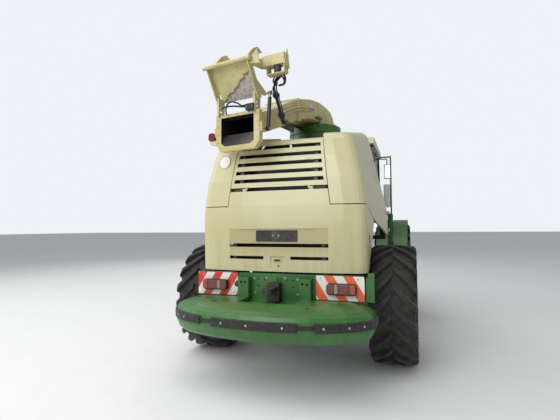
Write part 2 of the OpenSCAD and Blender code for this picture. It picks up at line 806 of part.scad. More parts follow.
module wing_outline(g) {
    polygon([[hood_y0 - 400, seam_z + g], [hood_y0 + 40, seam_z + g], [arch_top_y, wing_rear_z + g],
        [hood_y1 - g, wing_front_z + g], [hood_y1 - g, 4000], [hood_y0 - 400, 4000]]);
}
module roof_prism(g) {
    box([-roof_hw - g, grille_y1 - g, 2600], [roof_hw + g, hood_y1, 4000]);
}
module grille_prism(g, z0, z1) {
    along_y(hood_y0 - 400, grille_y1 - panel_gap + g)
        polygon([for (p = [[-1, z0], [1, z0], [1, z1], [-1, z1]]) [p.x * (grille_hw(p.y) + g), p.y]]);
}
wing_hinges_z = [1760, 2040];
hinge_t = 16;
arch_y0 = hood_y1 - 70;
arch_y1 = hood_y1 - 10;
rib_x = 560;
// Posts behind the grille
post_x0 = rib_x - 90;
post_x1 = rib_x - 40;
post_y1 = hood_y0 + 170;
// Frame inside the hood: an arch at its front and two ribs behind the grille
module hood_frame() {
    color([0.15, 0.16, 0.15]) {
        difference() {
            union() {
                intersection() {
                    hood_form(panel_t + 6, roof_dip);
                    union() {
                        box([-2000, arch_y0, wing_front_z - 50], [2000, arch_y1, 4000]);
                        both_sides()
                            box([rib_x, hood_y0 - 400, beam_z1], [rib_x + 50, hood_y0 - 40, 2000]);
                        box([-rib_x - 40, hood_y0 - 100, seam_z - 120],
                            [rib_x + 40, hood_y0 - 40, seam_z - 60]);
                    }
                }
                intersection() {
                    hood_form(panel_t + seat_gap, roof_dip);
                    union() {
                        both_sides()
                            box([post_x0, hood_y0 - 90, slot_z + slot_h + 10], [post_x1, post_y1, 3300]);
                        both_sides()
                            box([post_x0, hood_y0 - 60, 1999],
                                [rib_x + 50, post_y1 - 10, slot_z + slot_h + 20]);
                        box([-rib_x, arch_y0, 2800], [rib_x, arch_y1, 4000]);
                    }
                }
            }
            hood_form(panel_t + 90, roof_dip);
            translate([0, tower_y, 2000])
                cylinder(h = 3000, r = ring_r + 40, $fn = 96);
        }
        both_sides() {
            box([rail_x + 60, arch_y0, rail_z1], [rail_x + rail_w, arch_y1, wing_front_z - 50]);
            box([rail_x + 60, arch_y0, wing_front_z - 50], [1160, arch_y1, wing_front_z + 10]);
            // Hinge brackets and pins of the side panels
            for (z = wing_hinges_z) {
                box([1120, arch_y0, z - hinge_t], [1172, hood_y1 + 5, z]);
                box([1120, hood_y1 - 3, z - hinge_t], [wing_hinge_x + pin_hinge_r, wing_hinge_y + 12, z]);
                translate([wing_hinge_x, wing_hinge_y, z - hinge_t])
                    cylinder(h = eye_len + 20, r = pin_hinge_r, $fn = 48);
            }
        }
    }
}
module side_panel(side) {
    color("wheat")
    scale_x(side) {
        difference() {
            intersection() {
                difference() {
                    hood_form(0);
                    hood_form(panel_t);
                }
                along_x(0, 2000)
                    wing_outline(panel_gap);
            }
            grille_prism(panel_gap, seam_z - 60, 3300);
            roof_prism(panel_gap);
        }
        // Flange along the edge beside the grille and the roof
        difference() {
            intersection() {
                difference() {
                    hood_form(2);
                    hood_form(flange_h);
                }
                union() {
                    grille_prism(panel_gap + 14, seam_z + panel_gap, 3300);
                    roof_prism(panel_gap + 14);
                }
                box([0, hood_y0 - 400, seam_z + panel_gap], [2000, arch_y0 - 20, 4000]);
            }
            grille_prism(panel_gap, seam_z - 60, 3300);
            roof_prism(panel_gap);
        }
        for (z = wing_hinges_z)
            translate([wing_hinge_x, wing_hinge_y, z + seat_gap])
                difference() {
                    union() {
                        cylinder(h = eye_len, r = eye_hinge_r, $fn = 48);
                        translate([-40, -60, 0])
                            cube([40, 60, eye_len]);
                    }
                    translate([0, 0, -1])
                        cylinder(h = eye_len + 2, r = pin_hinge_r + run_gap, $fn = 48);
                }
    }
}
module side_panel_left() {
    side_panel(-1);
}
module side_panel_right() {
    side_panel(1);
}
filler_y = hood_y0 + 150;
filler_z = 1680;
module rear_hood() {
    face_y = hood_y0 - 130;
    color("wheat") {
        difference() {
            intersection() {
                hood_shell();
                union() {
                    along_x(-2000, 2000)
                        polygon([[hood_y0 - 400, hood_bottom_z], [arch_low_y, hood_bottom_z],
                            [arch_top_y, wing_rear_z - 15], [hood_y0 + 40, seam_z - 2],
                            [hood_y0 - 400, seam_z - 2]]);
                    grille_prism(0, seam_z - 20, slot_z);
                }
            }
            // Shallow recess, its long slot, two short slots, the pocket of the latch and the filler
            box([-650, face_y - 40, 1640], [650, face_y + 8, 1818]);
            box([-650, face_y - 40, 1588], [650, face_y + 60, 1632]);
            both_sides()
                box([176, face_y - 40, 1435], [648, face_y + 60, 1474]);
            box([-88, face_y - 40, 1325], [94, face_y + 6, 1478]);
            box([-78, face_y - 40, 1392], [84, face_y + 12, 1468]);
            translate([hood_rear_hw - 60, filler_y, filler_z])
                rotate([0, 90, 0])
                    cylinder(h = 100, r = 62, $fn = 32);
        }
        both_sides()
            difference() {
                union() {
                    bar_x(rear_hinge_x, rear_hinge_x + eye_len, rear_hinge_y, rear_hinge_z,
                        eye_hinge_r - 4);
                    box([rear_hinge_x, rear_hinge_y - 6, slot_z - 15],
                        [rear_hinge_x + eye_len, rear_hinge_y + 6, rear_hinge_z]);
                }
                bar_x(rear_hinge_x - 1, rear_hinge_x + eye_len + 1, rear_hinge_y, rear_hinge_z,
                    pin_hinge_r - 3 + run_gap);
            }
    }
}
module louvre_grille() {
    color("wheat") {
        difference() {
            intersection() {
                hood_shell(roof_dip);
                grille_prism(0, slot_z + slot_h, 3300);
            }
            for (i = [1:louvre_count - 1])
                let (z = slot_z + louvre_pitch * i, w0 = grille_hw(z) - 36, w1 = grille_hw(z + slot_h) - 36)
                    along_y(hood_y0 - 400, hood_y0 + 80)
                        polygon([[-w0, z], [w0, z], [w1, z + slot_h], [-w1, z + slot_h]]);
        }
        // Slanted blade over each slot, cut round the posts
        difference() {
            intersection() {
                hood_form(8, roof_dip);
                for (i = [1:louvre_count - 1])
                    let (z = slot_z + louvre_pitch * i + slot_h + 6, w = grille_hw(z) - 20,
                        y = hood_y0 + lookup(z, face_line))
                        along_x(-w, w)
                            polygon([[y, z], [y + blade_depth, z + blade_rise],
                                [y + blade_depth, z + blade_rise + 8], [y, z + 8]]);
            }
            both_sides()
                box([post_x0 - seat_gap, hood_y0 - 400, slot_z], [post_x1 + seat_gap, post_y1, 4000]);
        }
        // Hinge brackets and pins of the rear hood
        both_sides() {
            box([rear_hinge_x - 14, rear_hinge_y - 10, rear_hinge_z - 8],
                [rear_hinge_x - seat_gap, rear_hinge_y + 8, slot_z + slot_h + 12]);
            bar_x(rear_hinge_x - 14, rear_hinge_x + eye_len + 6, rear_hinge_y, rear_hinge_z,
                pin_hinge_r - 3);
        }
    }
}
module hood_roof() {
    color("wheat")
    difference() {
        intersection() {
            hood_shell(roof_dip);
            roof_prism(0);
        }
        translate([0, tower_y, 2000])
            cylinder(h = 3000, r = ring_r + 40, $fn = 96);
    }
}

mirror_z = cab_top_z - 150 - 12 - seat_gap;
module mirrors() {
    color([0.08, 0.08, 0.08])
    both_sides() {
        box([970, cab_y1 + 40, 3000], [1130, cab_y1 + 90, 3340]);
        bar([cab_hw - 60, cab_y1 + 20, mirror_z], [1050, cab_y1 + 60, mirror_z], 12);
        bar([1040, cab_y1 + 60, mirror_z + 5], [1040, cab_y1 + 60, 3300], 11);
    }
}
module canister() {
    color("white")
        translate([tank_x1 + 65 - 74 - seat_gap, 115, 2200])
            cylinder(h = 420, r = 60, $fn = 48);
}

// Spout in its own frame: pointing along -Y from the slewing ring's axis
module in_spout() {
    translate([0, tower_y, 0])
        rotate([0, 0, -spout_heading])
            children();
}
hinge_y = 330;
hinge_z = ring_top_z + 90;
lug_x = 200;
hinge_r = 25;
// Lift cylinder: eye on the ring and eye on the spout, as [y, z]
lift_a = [-510, ring_top_z - 70];
lift_b = [-960, ring_top_z - 115];
cyl_r = 24;
rod_r = 16;
cyl_pin_r = 14;
cyl_eye_r = 26;
module turret_ring() {
    color("forestgreen")
    in_spout() {
        difference() {
            translate([0, 0, tower_z1 + seat_gap])
                cylinder(h = ring_top_z - tower_z1 - seat_gap, r = ring_r + 20, $fn = 96);
            translate([0, 0, tower_z1])
                cylinder(h = 500, r = 330, $fn = 96);
        }
        both_sides()
            difference() {
                box([lug_x, hinge_y - 45, ring_top_z - 40], [lug_x + 30, hinge_y + 45, hinge_z + 45]);
                bar_x(lug_x - 10, lug_x + 40, hinge_y, hinge_z, hinge_r + run_gap);
            }
        both_sides()
            box([30, lift_a.x - 30, lift_a.y - 30], [44, -ring_r, lift_a.y + 30]);
        bar_x(-44, 44, lift_a.x, lift_a.y, cyl_pin_r);
    }
}
// Spout side outline as [distance behind the ring's axis, height]
spout_hw = spout_w / 2;
duct_z0 = ring_top_z + 12;
mouth_y = 2250;
frame_t = 75;
mouth_z0 = 2830;
mouth_z1 = 3240;
frame_hw = spout_hw + 80;
arm_x = spout_hw + spout_t;
arm_t = 26;
flap_pivot = [-mouth_y - 45, mouth_z1 + 210];
flap_top_z = 3915;
flap_tilt = 30;
joint_y = 1180;
// Flap cylinder: eye on the duct and eye on the flap, as [y, z]
flap_cyl_x = 375;
flap_a = flap_pivot + [105, -400];
flap_b = flap_pivot + [150, 60];
function arch_top(g) = [for (p = [[-260, duct_z0], [-250, 3640], [-190, 3760], [-80, 3840], [100, 3880],
    [400, 3890], [720, 3850], [1100, 3750], [1450, 3610], [1800, 3430],
    [mouth_y, mouth_z1]]) [-p.x, p.y - g]];
duct_low_z = mouth_z0 + 175;
function arch_low(g) = [for (p = [[mouth_y, duct_low_z], [2060, 3050], [1630, 3220], [1180, 3420],
    [740, 3545], [420, 3575], [300, duct_z0]]) [-p.x, p.y + g]];
// Bent tube of the spout between distances y0 and y1 behind the ring's axis
module spout_tube(y0, y1) {
    intersection() {
        difference() {
            along_x(-spout_hw - spout_t, spout_hw + spout_t)
                polygon(concat(arch_top(0), arch_low(0)));
            along_x(-spout_hw, spout_hw)
                polygon(concat([[260 - spout_t, duct_z0 - 10], [250 - spout_t, 3640]],
                    [for (i = [2:9]) arch_top(spout_t)[i]],
                    [[-mouth_y - 10, mouth_z1 - 24], [-mouth_y - 10, duct_low_z + spout_t]],
                    [for (i = [1:5]) arch_low(spout_t)[i]], [[-300 + spout_t, duct_z0 - 10]]));
        }
        box([-500, -y1, 2500], [500, -y0, 4500]);
    }
}
// Flange round the tube at its joint
module joint_flange(y0) {
    along_y(y0, y0 + 12)
        difference() {
            polygon([[-spout_hw - 36, 3402], [spout_hw + 36, 3402], [spout_hw + 36, 3740],
                [-spout_hw - 36, 3740]]);
            polygon([[-spout_hw - 8, 3428], [spout_hw + 8, 3428], [spout_hw + 8, 3712],
                [-spout_hw - 8, 3712]]);
        }
}
module spout_bend() {
    color("wheat")
    in_spout() {
        spout_tube(-500, joint_y - seat_gap);
        joint_flange(-joint_y + seat_gap);
        both_sides() {
            // Hinge plates over the ring
            box([lug_x + 35, 200, ring_top_z + 30], [lug_x + 60, hinge_y + 45, hinge_z + 45]);
            // Lug of the lift cylinder
            box([30, lift_b.x - 30, lift_b.y - 30], [44, lift_b.x + 30, lift_b.y + 56]);
            // Side ribs of the bend
            for (y = [-120, -420])
                box([spout_hw + spout_t - 2, y - 6, 3600], [spout_hw + spout_t + 16, y + 6, 3860]);
        }
        bar_x(-lug_x - 60, lug_x + 60, hinge_y, hinge_z, hinge_r);
    }
}
module spout_duct() {
    color("wheat")
    in_spout() {
        spout_tube(joint_y, 2600);
        joint_flange(-joint_y - 12);
        // Mouth frame with cut lower corners
        difference() {
            along_y(-mouth_y - frame_t, -mouth_y)
                polygon([[-frame_hw, mouth_z1 + 30], [-frame_hw, mouth_z0 + 60],
                    [-frame_hw + 70, mouth_z0 - 30], [frame_hw - 70, mouth_z0 - 30],
                    [frame_hw, mouth_z0 + 60], [frame_hw, mouth_z1 + 30]]);
            hull() {
                along_y(-mouth_y - frame_t - 10, -mouth_y - frame_t - 1)
                    polygon([[-spout_hw, mouth_z1 - 10], [-spout_hw, mouth_z0 + 70],
                        [-spout_hw + 60, mouth_z0 + 30], [spout_hw - 60, mouth_z0 + 30],
                        [spout_hw, mouth_z0 + 70], [spout_hw, mouth_z1 - 10]]);
                box([-spout_hw, -mouth_y - 1, duct_low_z + spout_t],
                    [spout_hw, -mouth_y + 10, mouth_z1 - 24]);
            }
        }
        both_sides() {
            // Arms of the guide flap
            difference() {
                box([arm_x, flap_pivot.x - 60, mouth_z1 + 20],
                    [arm_x + arm_t, flap_pivot.x + 60, flap_pivot.y + 42]);
                bar_x(arm_x - 10, arm_x + arm_t + 10, flap_pivot.x, flap_pivot.y, cyl_pin_r + run_gap);
                for (z = [mouth_z1 + 70, mouth_z1 + 120])
                    box([arm_x - 10, flap_pivot.x - 35, z], [arm_x + arm_t + 10, flap_pivot.x + 35,
                        z + 26]);
            }
            box([frame_hw - 4, -mouth_y - frame_t + 10, mouth_z0 + 170],
                [frame_hw + 30, -mouth_y - 20, mouth_z0 + 290]);
        }
        bar_x(spout_hw + 4, flap_cyl_x + 25, flap_a.x, flap_a.y, cyl_pin_r);
    }
}
lamp_y = -mouth_y - 65;
module marker_lamp() {
    color("red")
    in_spout() {
        along_y(lamp_y - 10, lamp_y + 55)
            polygon(rounded([[-frame_hw - 130, mouth_z0 + 128, 30], [-frame_hw - 34, mouth_z0 + 128, 30],
                [-frame_hw - 34, mouth_z0 + 232, 30], [-frame_hw - 130, mouth_z0 + 232, 30]]));
    }
}
module lamp_bracket() {
    color("wheat")
    in_spout()
        along_y(lamp_y, lamp_y + 50)
            polygon([[-frame_hw - 110, mouth_z0 + 127.7], [-frame_hw - 100, mouth_z0 + 80],
                [-frame_hw - seat_gap, mouth_z0 + 62], [-frame_hw - seat_gap, mouth_z0 + 127.7]]);
}
// The guide flap leans out from its pivot
module in_flap() {
    in_spout()
        translate([0, flap_pivot.x, flap_pivot.y])
            rotate([flap_tilt, 0, 0])
                translate([0, -flap_pivot.x, -flap_pivot.y])
                    children();
}
// End flap hinge as [y, z], in the flap's own upright frame
end_pivot = [-mouth_y + 28, flap_top_z - 12];
wall_x = arm_x + arm_t + 6;
lamp_box_x = [330, 640];
module guide_flap() {
    color("wheat") {
        in_flap() {
            // Back plate with flared ends, side walls and rolled rim
            along_y(-mouth_y - 20, -mouth_y)
                polygon([[-spout_hw, flap_pivot.y - 20], [spout_hw, flap_pivot.y - 20],
                    [300, flap_top_z - 130], [350, flap_top_z - 70], [350, flap_top_z],
                    [-350, flap_top_z], [-350, flap_top_z - 70], [-300, flap_top_z - 130]]);
            both_sides() {
                box([wall_x, -mouth_y - 90, flap_pivot.y - 40], [wall_x + 16, -mouth_y, flap_top_z]);
                box([284, -mouth_y - 20, flap_pivot.y + 90], [wall_x + 4, -mouth_y, flap_top_z]);
                difference() {
                    box([262, -mouth_y - 5, flap_top_z - 40], [276, end_pivot.x + 16, flap_top_z + 4]);
                    bar_x(260, 280, end_pivot.x, end_pivot.y, pin_hinge_r + run_gap);
                }
            }
            box([-350, -mouth_y - 90, flap_top_z - 30], [350, -mouth_y - 15, flap_top_z]);
            bar_x(-350, 350, -mouth_y - 86, flap_top_z - 19, 25);
        }
        in_spout() {
            both_sides()
                bar_x(arm_x - 8, wall_x + 4, flap_pivot.x, flap_pivot.y, cyl_pin_r);
            // Crank of the flap cylinder
            along_x(wall_x + 2, wall_x + 18)
                polygon([flap_pivot + [-20, 10], flap_b - [0, 26], flap_b + [26, 0], flap_b + [0, 26],
                    flap_pivot + [-120, 210]]);
            bar_x(wall_x + 2, flap_cyl_x - 27, flap_b.x, flap_b.y, cyl_pin_r);
            // Arm to the lamp box on the right, with a fin at either end
            along_x(wall_x, wall_x + 40)
                polygon([[-2500, 3765], [-2480, 3835], [-2200, 3925], [-2200, 3800]]);
            box([lamp_box_x[0], -2260, 3800], [lamp_box_x[1], -2140, 3930]);
            box([lamp_box_x[0] + 60, -2250, 3690], [lamp_box_x[1], -2150, 3702]);
            for (x = [lamp_box_x[0] + 60, lamp_box_x[1] - 12])
                box([x, -2250, 3690], [x + 12, -2150, 3810]);
            along_x(lamp_box_x[1] - 2, lamp_box_x[1] + 10)
                polygon([[-2270, 3780], [-2190, 3995], [-2130, 3760]]);
            along_y(-2506, -2494)
                polygon([[235, 3760], [335, 3760], [455, 3745], [417, 3915]]);
        }
    }
}
module work_lamp() {
    color([0.08, 0.08, 0.08])
    in_spout()
        translate([520, -2200, 3702 + seat_gap])
            cylinder(h = 98 - 2 * seat_gap, r = 46, $fn = 32);
}
module end_flap() {
    color("wheat")
    in_flap() {
        box([-245, end_pivot.x - 8, flap_top_z - 20], [245, end_pivot.x + 380, flap_top_z - 4]);
        both_sides() {
            along_x(236, 250)
                polygon([[end_pivot.x - 14, flap_top_z - 24], [end_pivot.x + 380, flap_top_z - 24],
                    [end_pivot.x + 300, flap_top_z + 60], [end_pivot.x + 190, flap_top_z + 60],
                    [end_pivot.x + 10, flap_top_z + 2]]);
            bar_x(240, 282, end_pivot.x, end_pivot.y, pin_hinge_r);
        }
    }
}
// Cylinder along a to b at x: the barrel's eye turns on a, the rod's eye on b
function along(a, b, d) = a + unit(b - a) * d;
module barrel(x, a, b, len) {
    p = along(a, b, 0);
    q = along(a, b, len);
    difference() {
        union() {
            bar([x, p.x, p.y] + [0, unit(b - a).x, unit(b - a).y] * cyl_eye_r * 0.6, [x, q.x, q.y], cyl_r);
            bar_x(x - 24, x + 24, a.x, a.y, cyl_eye_r + 2);
        }
        bar_x(x - 60, x + 60, a.x, a.y, cyl_pin_r + run_gap);
        bar([x, p.x, p.y] + [0, unit(b - a).x, unit(b - a).y] * 60, [x, q.x, q.y] + [0, unit(b - a).x,
            unit(b - a).y] * 5, rod_r + run_gap);
    }
}
module rod(x, a, b, start) {
    p = along(a, b, start);
    bar([x, p.x, p.y], [x, b.x, b.y], rod_r);
    bar_x(x - 20, x + 20, b.x, b.y, cyl_eye_r);
    bar_x(x - 24, x + 24, b.x, b.y, cyl_pin_r);
}
module lift_barrel() {
    color("black")
    in_spout()
        barrel(0, lift_a, lift_b, norm(lift_b - lift_a) - 60);
}
module lift_rod() {
    color("silver")
    in_spout()
        rod(0, lift_a, lift_b, 90);
}
module flap_barrel() {
    color("black")
    in_spout()
        barrel(flap_cyl_x, flap_a, flap_b, norm(flap_b - flap_a) - 60);
}
module flap_rod() {
    color("silver")
    in_spout()
        rod(flap_cyl_x, flap_a, flap_b, 90);
}

chassis_frame();
rear_beam();
bumper();
bumper_strip();
hitch();
warning_plates();
tail_lamps();
engine();
cooling_pack();
axles();
tanks();
fenders();
platforms();
cab_frame();
cab_roof();
cab_glass();
seat();
console();
feeder_house();
turret_base();
hood_frame();
hood_roof();
louvre_grille();
mirrors();
canister();
rear_hood();
side_panel_left();
side_panel_right();
cab_door();
door_glass();
turret_ring();
spout_bend();
spout_duct();
marker_lamp();
lamp_bracket();
work_lamp();
guide_flap();
end_flap();
lift_barrel();
lift_rod();
flap_barrel();
flap_rod();
knuckle_left();
knuckle_right();
tyre_rear_left();
tyre_rear_right();
tyre_front_left();
tyre_front_right();
rim_rear_left();
rim_rear_right();
rim_front_left();
rim_front_right();
upper_roll();
lower_roll();
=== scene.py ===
import math

import bmesh
import bpy
from mathutils import Matrix, Vector


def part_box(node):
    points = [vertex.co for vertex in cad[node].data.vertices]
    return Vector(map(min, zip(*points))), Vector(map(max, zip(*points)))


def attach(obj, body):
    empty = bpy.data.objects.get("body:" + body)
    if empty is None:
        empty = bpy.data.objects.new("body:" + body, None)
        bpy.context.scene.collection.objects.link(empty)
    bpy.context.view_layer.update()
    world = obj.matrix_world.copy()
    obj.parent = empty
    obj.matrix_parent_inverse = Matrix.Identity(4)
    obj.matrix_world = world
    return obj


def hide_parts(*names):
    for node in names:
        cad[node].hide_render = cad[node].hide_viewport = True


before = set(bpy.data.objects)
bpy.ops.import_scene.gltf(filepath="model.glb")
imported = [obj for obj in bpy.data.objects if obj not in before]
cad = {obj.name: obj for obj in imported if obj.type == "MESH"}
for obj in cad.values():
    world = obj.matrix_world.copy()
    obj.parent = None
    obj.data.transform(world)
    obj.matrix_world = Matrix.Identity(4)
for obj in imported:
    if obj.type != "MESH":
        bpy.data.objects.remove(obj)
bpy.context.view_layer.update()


# The camera stands behind the machine, a little to its right.

CAMERA_PLACE = (1.613, -7.353, 1.826)
CAMERA_YAW = math.radians(18.9)
CAMERA_PITCH = math.radians(2.65)
CAMERA_ROLL = math.radians(-0.37)
CAMERA_LENS = 24.99
CAMERA_REACH = 400


def place_camera(place, yaw, pitch, roll, lens):
    ahead = Vector((-math.sin(yaw) * math.cos(pitch), math.cos(yaw) * math.cos(pitch), math.sin(pitch)))
    across = Vector((math.cos(yaw), math.sin(yaw), 0))
    upright = across.cross(ahead)
    right = across * math.cos(roll) + upright * math.sin(roll)
    up = right.cross(ahead)
    data = bpy.data.cameras.new("photographer")
    data.lens = lens
    data.clip_end = CAMERA_REACH
    camera = bpy.data.objects.new("photographer", data)
    bpy.context.scene.collection.objects.link(camera)
    camera.matrix_world = Matrix.Translation(place) @ Matrix((right, up, -ahead)).transposed().to_4x4()
    bpy.context.scene.camera = camera


place_camera(CAMERA_PLACE, CAMERA_YAW, CAMERA_PITCH, CAMERA_ROLL, CAMERA_LENS)


# Finishes

class Signal:
    """A shader socket that can be used in sums."""

    def __init__(self, shading, socket):
        self.shading = shading
        self.socket = socket

    def maths(self, operation, *values):
        return self.shading.node("ShaderNodeMath", {"operation": operation}, dict(enumerate(values)))

    def __add__(self, other):
        return self.maths("ADD", self, other)

    def __sub__(self, other):
        return self.maths("SUBTRACT", self, other)

    def __rsub__(self, other):
        return self.maths("SUBTRACT", other, self)

    def __mul__(self, other):
        return self.maths("MULTIPLY", self, other)

    def __truediv__(self, other):
        return self.maths("DIVIDE", self, other)

    def __rtruediv__(self, other):
        return self.maths("DIVIDE", other, self)

    def __mod__(self, other):
        return self.maths("FLOORED_MODULO", self, other)

    def __gt__(self, other):
        return self.maths("GREATER_THAN", self, other)

    def __lt__(self, other):
        return self.maths("LESS_THAN", self, other)

    def __abs__(self):
        return self.maths("ABSOLUTE", self)

    __radd__ = __add__
    __rmul__ = __mul__

    def between(self, low, high):
        """0 below low, 1 above high, and a soft step between them."""
        return self.shading.node("ShaderNodeMapRange", {"interpolation_type": "SMOOTHSTEP"},
                                 {"Value": self, "From Min": low, "From Max": high})


class Shading:
    """The nodes of a material or of the air."""

    def __init__(self, tree):
        self.tree = tree

    def feed(self, node, inputs):
        for name, value in inputs.items():
            if isinstance(value, Signal):
                self.tree.links.new(value.socket, node.inputs[name])
                continue
            socket = node.inputs[name]
            is_colour = isinstance(value, tuple) and len(value) == 3 and len(socket.default_value) == 4
            socket.default_value = (*value, 1) if is_colour else value

    def node(self, kind, settings=None, inputs=None, output=0):
        made = self.tree.nodes.new(kind)
        for name, value in (settings or {}).items():
            setattr(made, name, value)
        self.feed(made, inputs or {})
        return Signal(self, made.outputs[output])


class Coat(Shading):
    """A material of this machine. The main shader's sockets are given as words such as base_color."""

    def __init__(self, name, **constants):
        self.material = bpy.data.materials.new(name)
        self.material.use_nodes = True
        super().__init__(self.material.node_tree)
        self.set(**constants)
        self.spot = self.node("ShaderNodeTexCoord", output="Object")
        facing = self.node("ShaderNodeNewGeometry", output="Normal")
        self.x, self.y, self.z = (self.part_of(self.spot, k) for k in range(3))
        self.up = self.part_of(facing, 2)

    def part_of(self, vector, axis):
        return self.node("ShaderNodeSeparateXYZ", inputs={0: vector}, output=axis)

    def set(self, **inputs):
        shader = self.tree.nodes["Principled BSDF"]
        self.feed(shader, {name.replace("_", " ").title(): value for name, value in inputs.items()})
        return self.material

    def noise(self, scale, detail=3, rough=0.55, spot=None):
        return self.node("ShaderNodeTexNoise", inputs={"Vector": spot or self.spot, "Scale": scale,
                                                       "Detail": detail, "Roughness": rough})

    def stretched(self, x, y, z):
        return self.node("ShaderNodeVectorMath", {"operation": "MULTIPLY"}, {0: self.spot, 1: (x, y, z)})

    def blend(self, amount, first, second):
        return self.node("ShaderNodeMix", {"data_type": "RGBA"}, {0: amount, 6: first, 7: second}, output=2)

    def bumps(self, height, strength, distance=0.002):
        return self.node("ShaderNodeBump", inputs={"Height": height, "Strength": strength,
                                                   "Distance": distance})


def shaded(colour, share):
    """A colour made darker or lighter."""
    return tuple(share * c for c in colour)


DUST = (0.30, 0.255, 0.18)
CREAM = (0.56, 0.51, 0.285)
FADED_CREAM = (0.60, 0.55, 0.33)
CREAM_DIRT = (0.30, 0.26, 0.12)
# Dust on the cream panels is full at the first height and gone at the second.
DUSTY_HEIGHTS = (1.25, 2.3)
# The shaded hollow in the rear hood: half its width, where its foot fades in, and its top
HOLLOW_HALF = 0.649
HOLLOW_FOOT = (1.40, 1.62)
HOLLOW_TOP = 1.817
HOLLOW_SHADE = (0.33, 0.28, 0.09)
# The spout's heading and the middle of its ring
SPOUT_TURN = math.radians(11)
RING_MIDDLE = Vector((0, -0.70, 0))
# The guide flap is worn bare below a line: where it starts on the left, its height there, its slope,
# how ragged it is, and where the worn sheet ends on the right
WEAR_LEFT = -0.25
WEAR_FOOT = 3.44
WEAR_SLOPE = 0.5625
WEAR_RAGGED = 0.16
WEAR_RIGHT = 0.29
# Warning bars: their pitch across, how far they lean, and the sheet's two reds
BAR_PITCH = 0.23
BAR_LEAN = 0.62
LEFT_RED = (0.62, 0.03, 0.015)
RIGHT_RED = (0.80, 0.10, 0.015)
SHEET_WHITE = (0.80, 0.78, 0.74)


def panel_paint(name, hollow_share=0.0):
    """Sprayed cream paint: it fades in large patches, and dust gathers on it low down and on ledges."""
    coat = Coat(name, coat_roughness=0.12)
    patch = coat.noise(1.3, 4)
    streak = coat.noise(1, 5, 0.6, coat.stretched(9, 9, 0.8))
    speck = coat.noise(60, 2)
    body = coat.blend(patch.between(0.35, 0.7) * 0.8, CREAM, FADED_CREAM)
    settled = (1 - coat.z.between(*DUSTY_HEIGHTS)) * 0.3 + coat.up.between(0.5, 1) * 0.3
    grime = settled * streak.between(0.35, 0.7)
    body = coat.blend(grime, body, CREAM_DIRT)
    body = coat.blend((speck > 0.72) * settled * 0.5, body, DUST)
    if hollow_share:
        hollow = (abs(coat.x) < HOLLOW_HALF) * coat.z.between(*HOLLOW_FOOT) * (coat.z < HOLLOW_TOP)
        body = coat.blend(hollow * hollow_share, body, HOLLOW_SHADE)
    return coat.set(base_color=body, roughness=0.34 + grime * 0.4 + speck * 0.06,
                    coat_weight=0.45 - grime * 0.4, normal=coat.bumps(coat.noise(260, 1), 0.05))


def worn_paint(name, colour, faded, chips, rust=(0.055, 0.03, 0.016), gloss=0.45, dust_share=0.45):
    """Tough paint on plate work: scuffed pale on top, and chipped to rust where noise is above chips."""
    coat = Coat(name, coat_roughness=0.25)
    patch = coat.noise(3, 5)
    scuff = coat.noise(14, 6, 0.7)
    chip = coat.noise(42, 4, 0.6).between(chips, chips + 0.04)
    body = coat.blend(patch.between(0.4, 0.65), colour, faded)
    settled = coat.up.between(0.3, 1) * scuff.between(0.42, 0.7)
    body = coat.blend(settled * dust_share, body, DUST)
    body = coat.blend(chip, body, rust)
    return coat.set(base_color=body, roughness=gloss + settled * 0.3 + chip * 0.25,
                    coat_weight=0.25 - settled * 0.2, normal=coat.bumps(scuff - chip * 0.6, 0.12))


def dusty_rubber(name, colour, dust, share, scale=9):
    coat = Coat(name, sheen_weight=0.1)
    film = coat.noise(scale, 6, 0.68)
    fine = coat.noise(120, 3)
    lies = film.between(0.42, 0.72) * share
    body = coat.blend(lies, colour, dust)
    body = coat.blend(fine.between(0.55, 0.8) * 0.25, body, dust)
    return coat.set(base_color=body, roughness=0.72 + lies * 0.25, normal=coat.bumps(fine, 0.25))


def moulded_plastic(name, colour, gloss=0.5, dust=0.25):
    coat = Coat(name)
    grain = coat.noise(340, 2)
    film = coat.noise(7, 5, 0.65).between(0.45, 0.75) * dust
    return coat.set(base_color=coat.blend(film, colour, DUST), roughness=gloss + film * 0.4,
                    normal=coat.bumps(grain, 0.12, 0.001))


def lamp_lens(name, colour):
    """Clear plastic with upright ribs, 160 to the metre."""
    coat = Coat(name, coat_roughness=0.05)
    ribs = (coat.x * 160) % 1
    ridge = abs(ribs - 0.5)
    return coat.set(base_color=coat.blend(ridge, colour, shaded(colour, 0.45)), roughness=0.16 + ribs * 0.1,
                    coat_weight=0.7, normal=coat.bumps(ridge, 0.35, 0.001))


def bare_metal(name, colour, rough=0.32, rust=0.0):
    coat = Coat(name)
    brushed = coat.noise(1, 4, 0.6, coat.stretched(30, 400, 30))
    spots = coat.noise(18, 5, 0.7).between(0.5, 0.75) * rust
    body = coat.blend(brushed, colour, shaded(colour, 0.65))
    body = coat.blend(spots, body, (0.10, 0.045, 0.02))
    return coat.set(base_color=body, metallic=1 - spots, roughness=rough + brushed * 0.15 + spots * 0.4,
                    normal=coat.bumps(brushed, 0.1, 0.0008))


def tinted_glass():
    coat = Coat("tinted_glass", coat_roughness=0.02)
    film = coat.noise(4, 6, 0.7).between(0.4, 0.8)
    return coat.set(base_color=coat.blend(film * 0.3, (0.03, 0.04, 0.04), DUST),
                    roughness=0.04 + film * 0.1, alpha=0.42 + film * 0.1, coat_weight=0.5)


def woven_cloth(name, colour):
    coat = Coat(name, sheen_weight=0.4)
    warp, weft = (coat.node("ShaderNodeTexWave", {"bands_direction": way}, {"Scale": 160}) for way in "XZ")
    weave = warp * weft
    return coat.set(base_color=coat.blend(weave, colour, shaded(colour, 1.6)), roughness=0.85 + weave * 0.1,
                    normal=coat.bumps(weave, 0.5, 0.001))


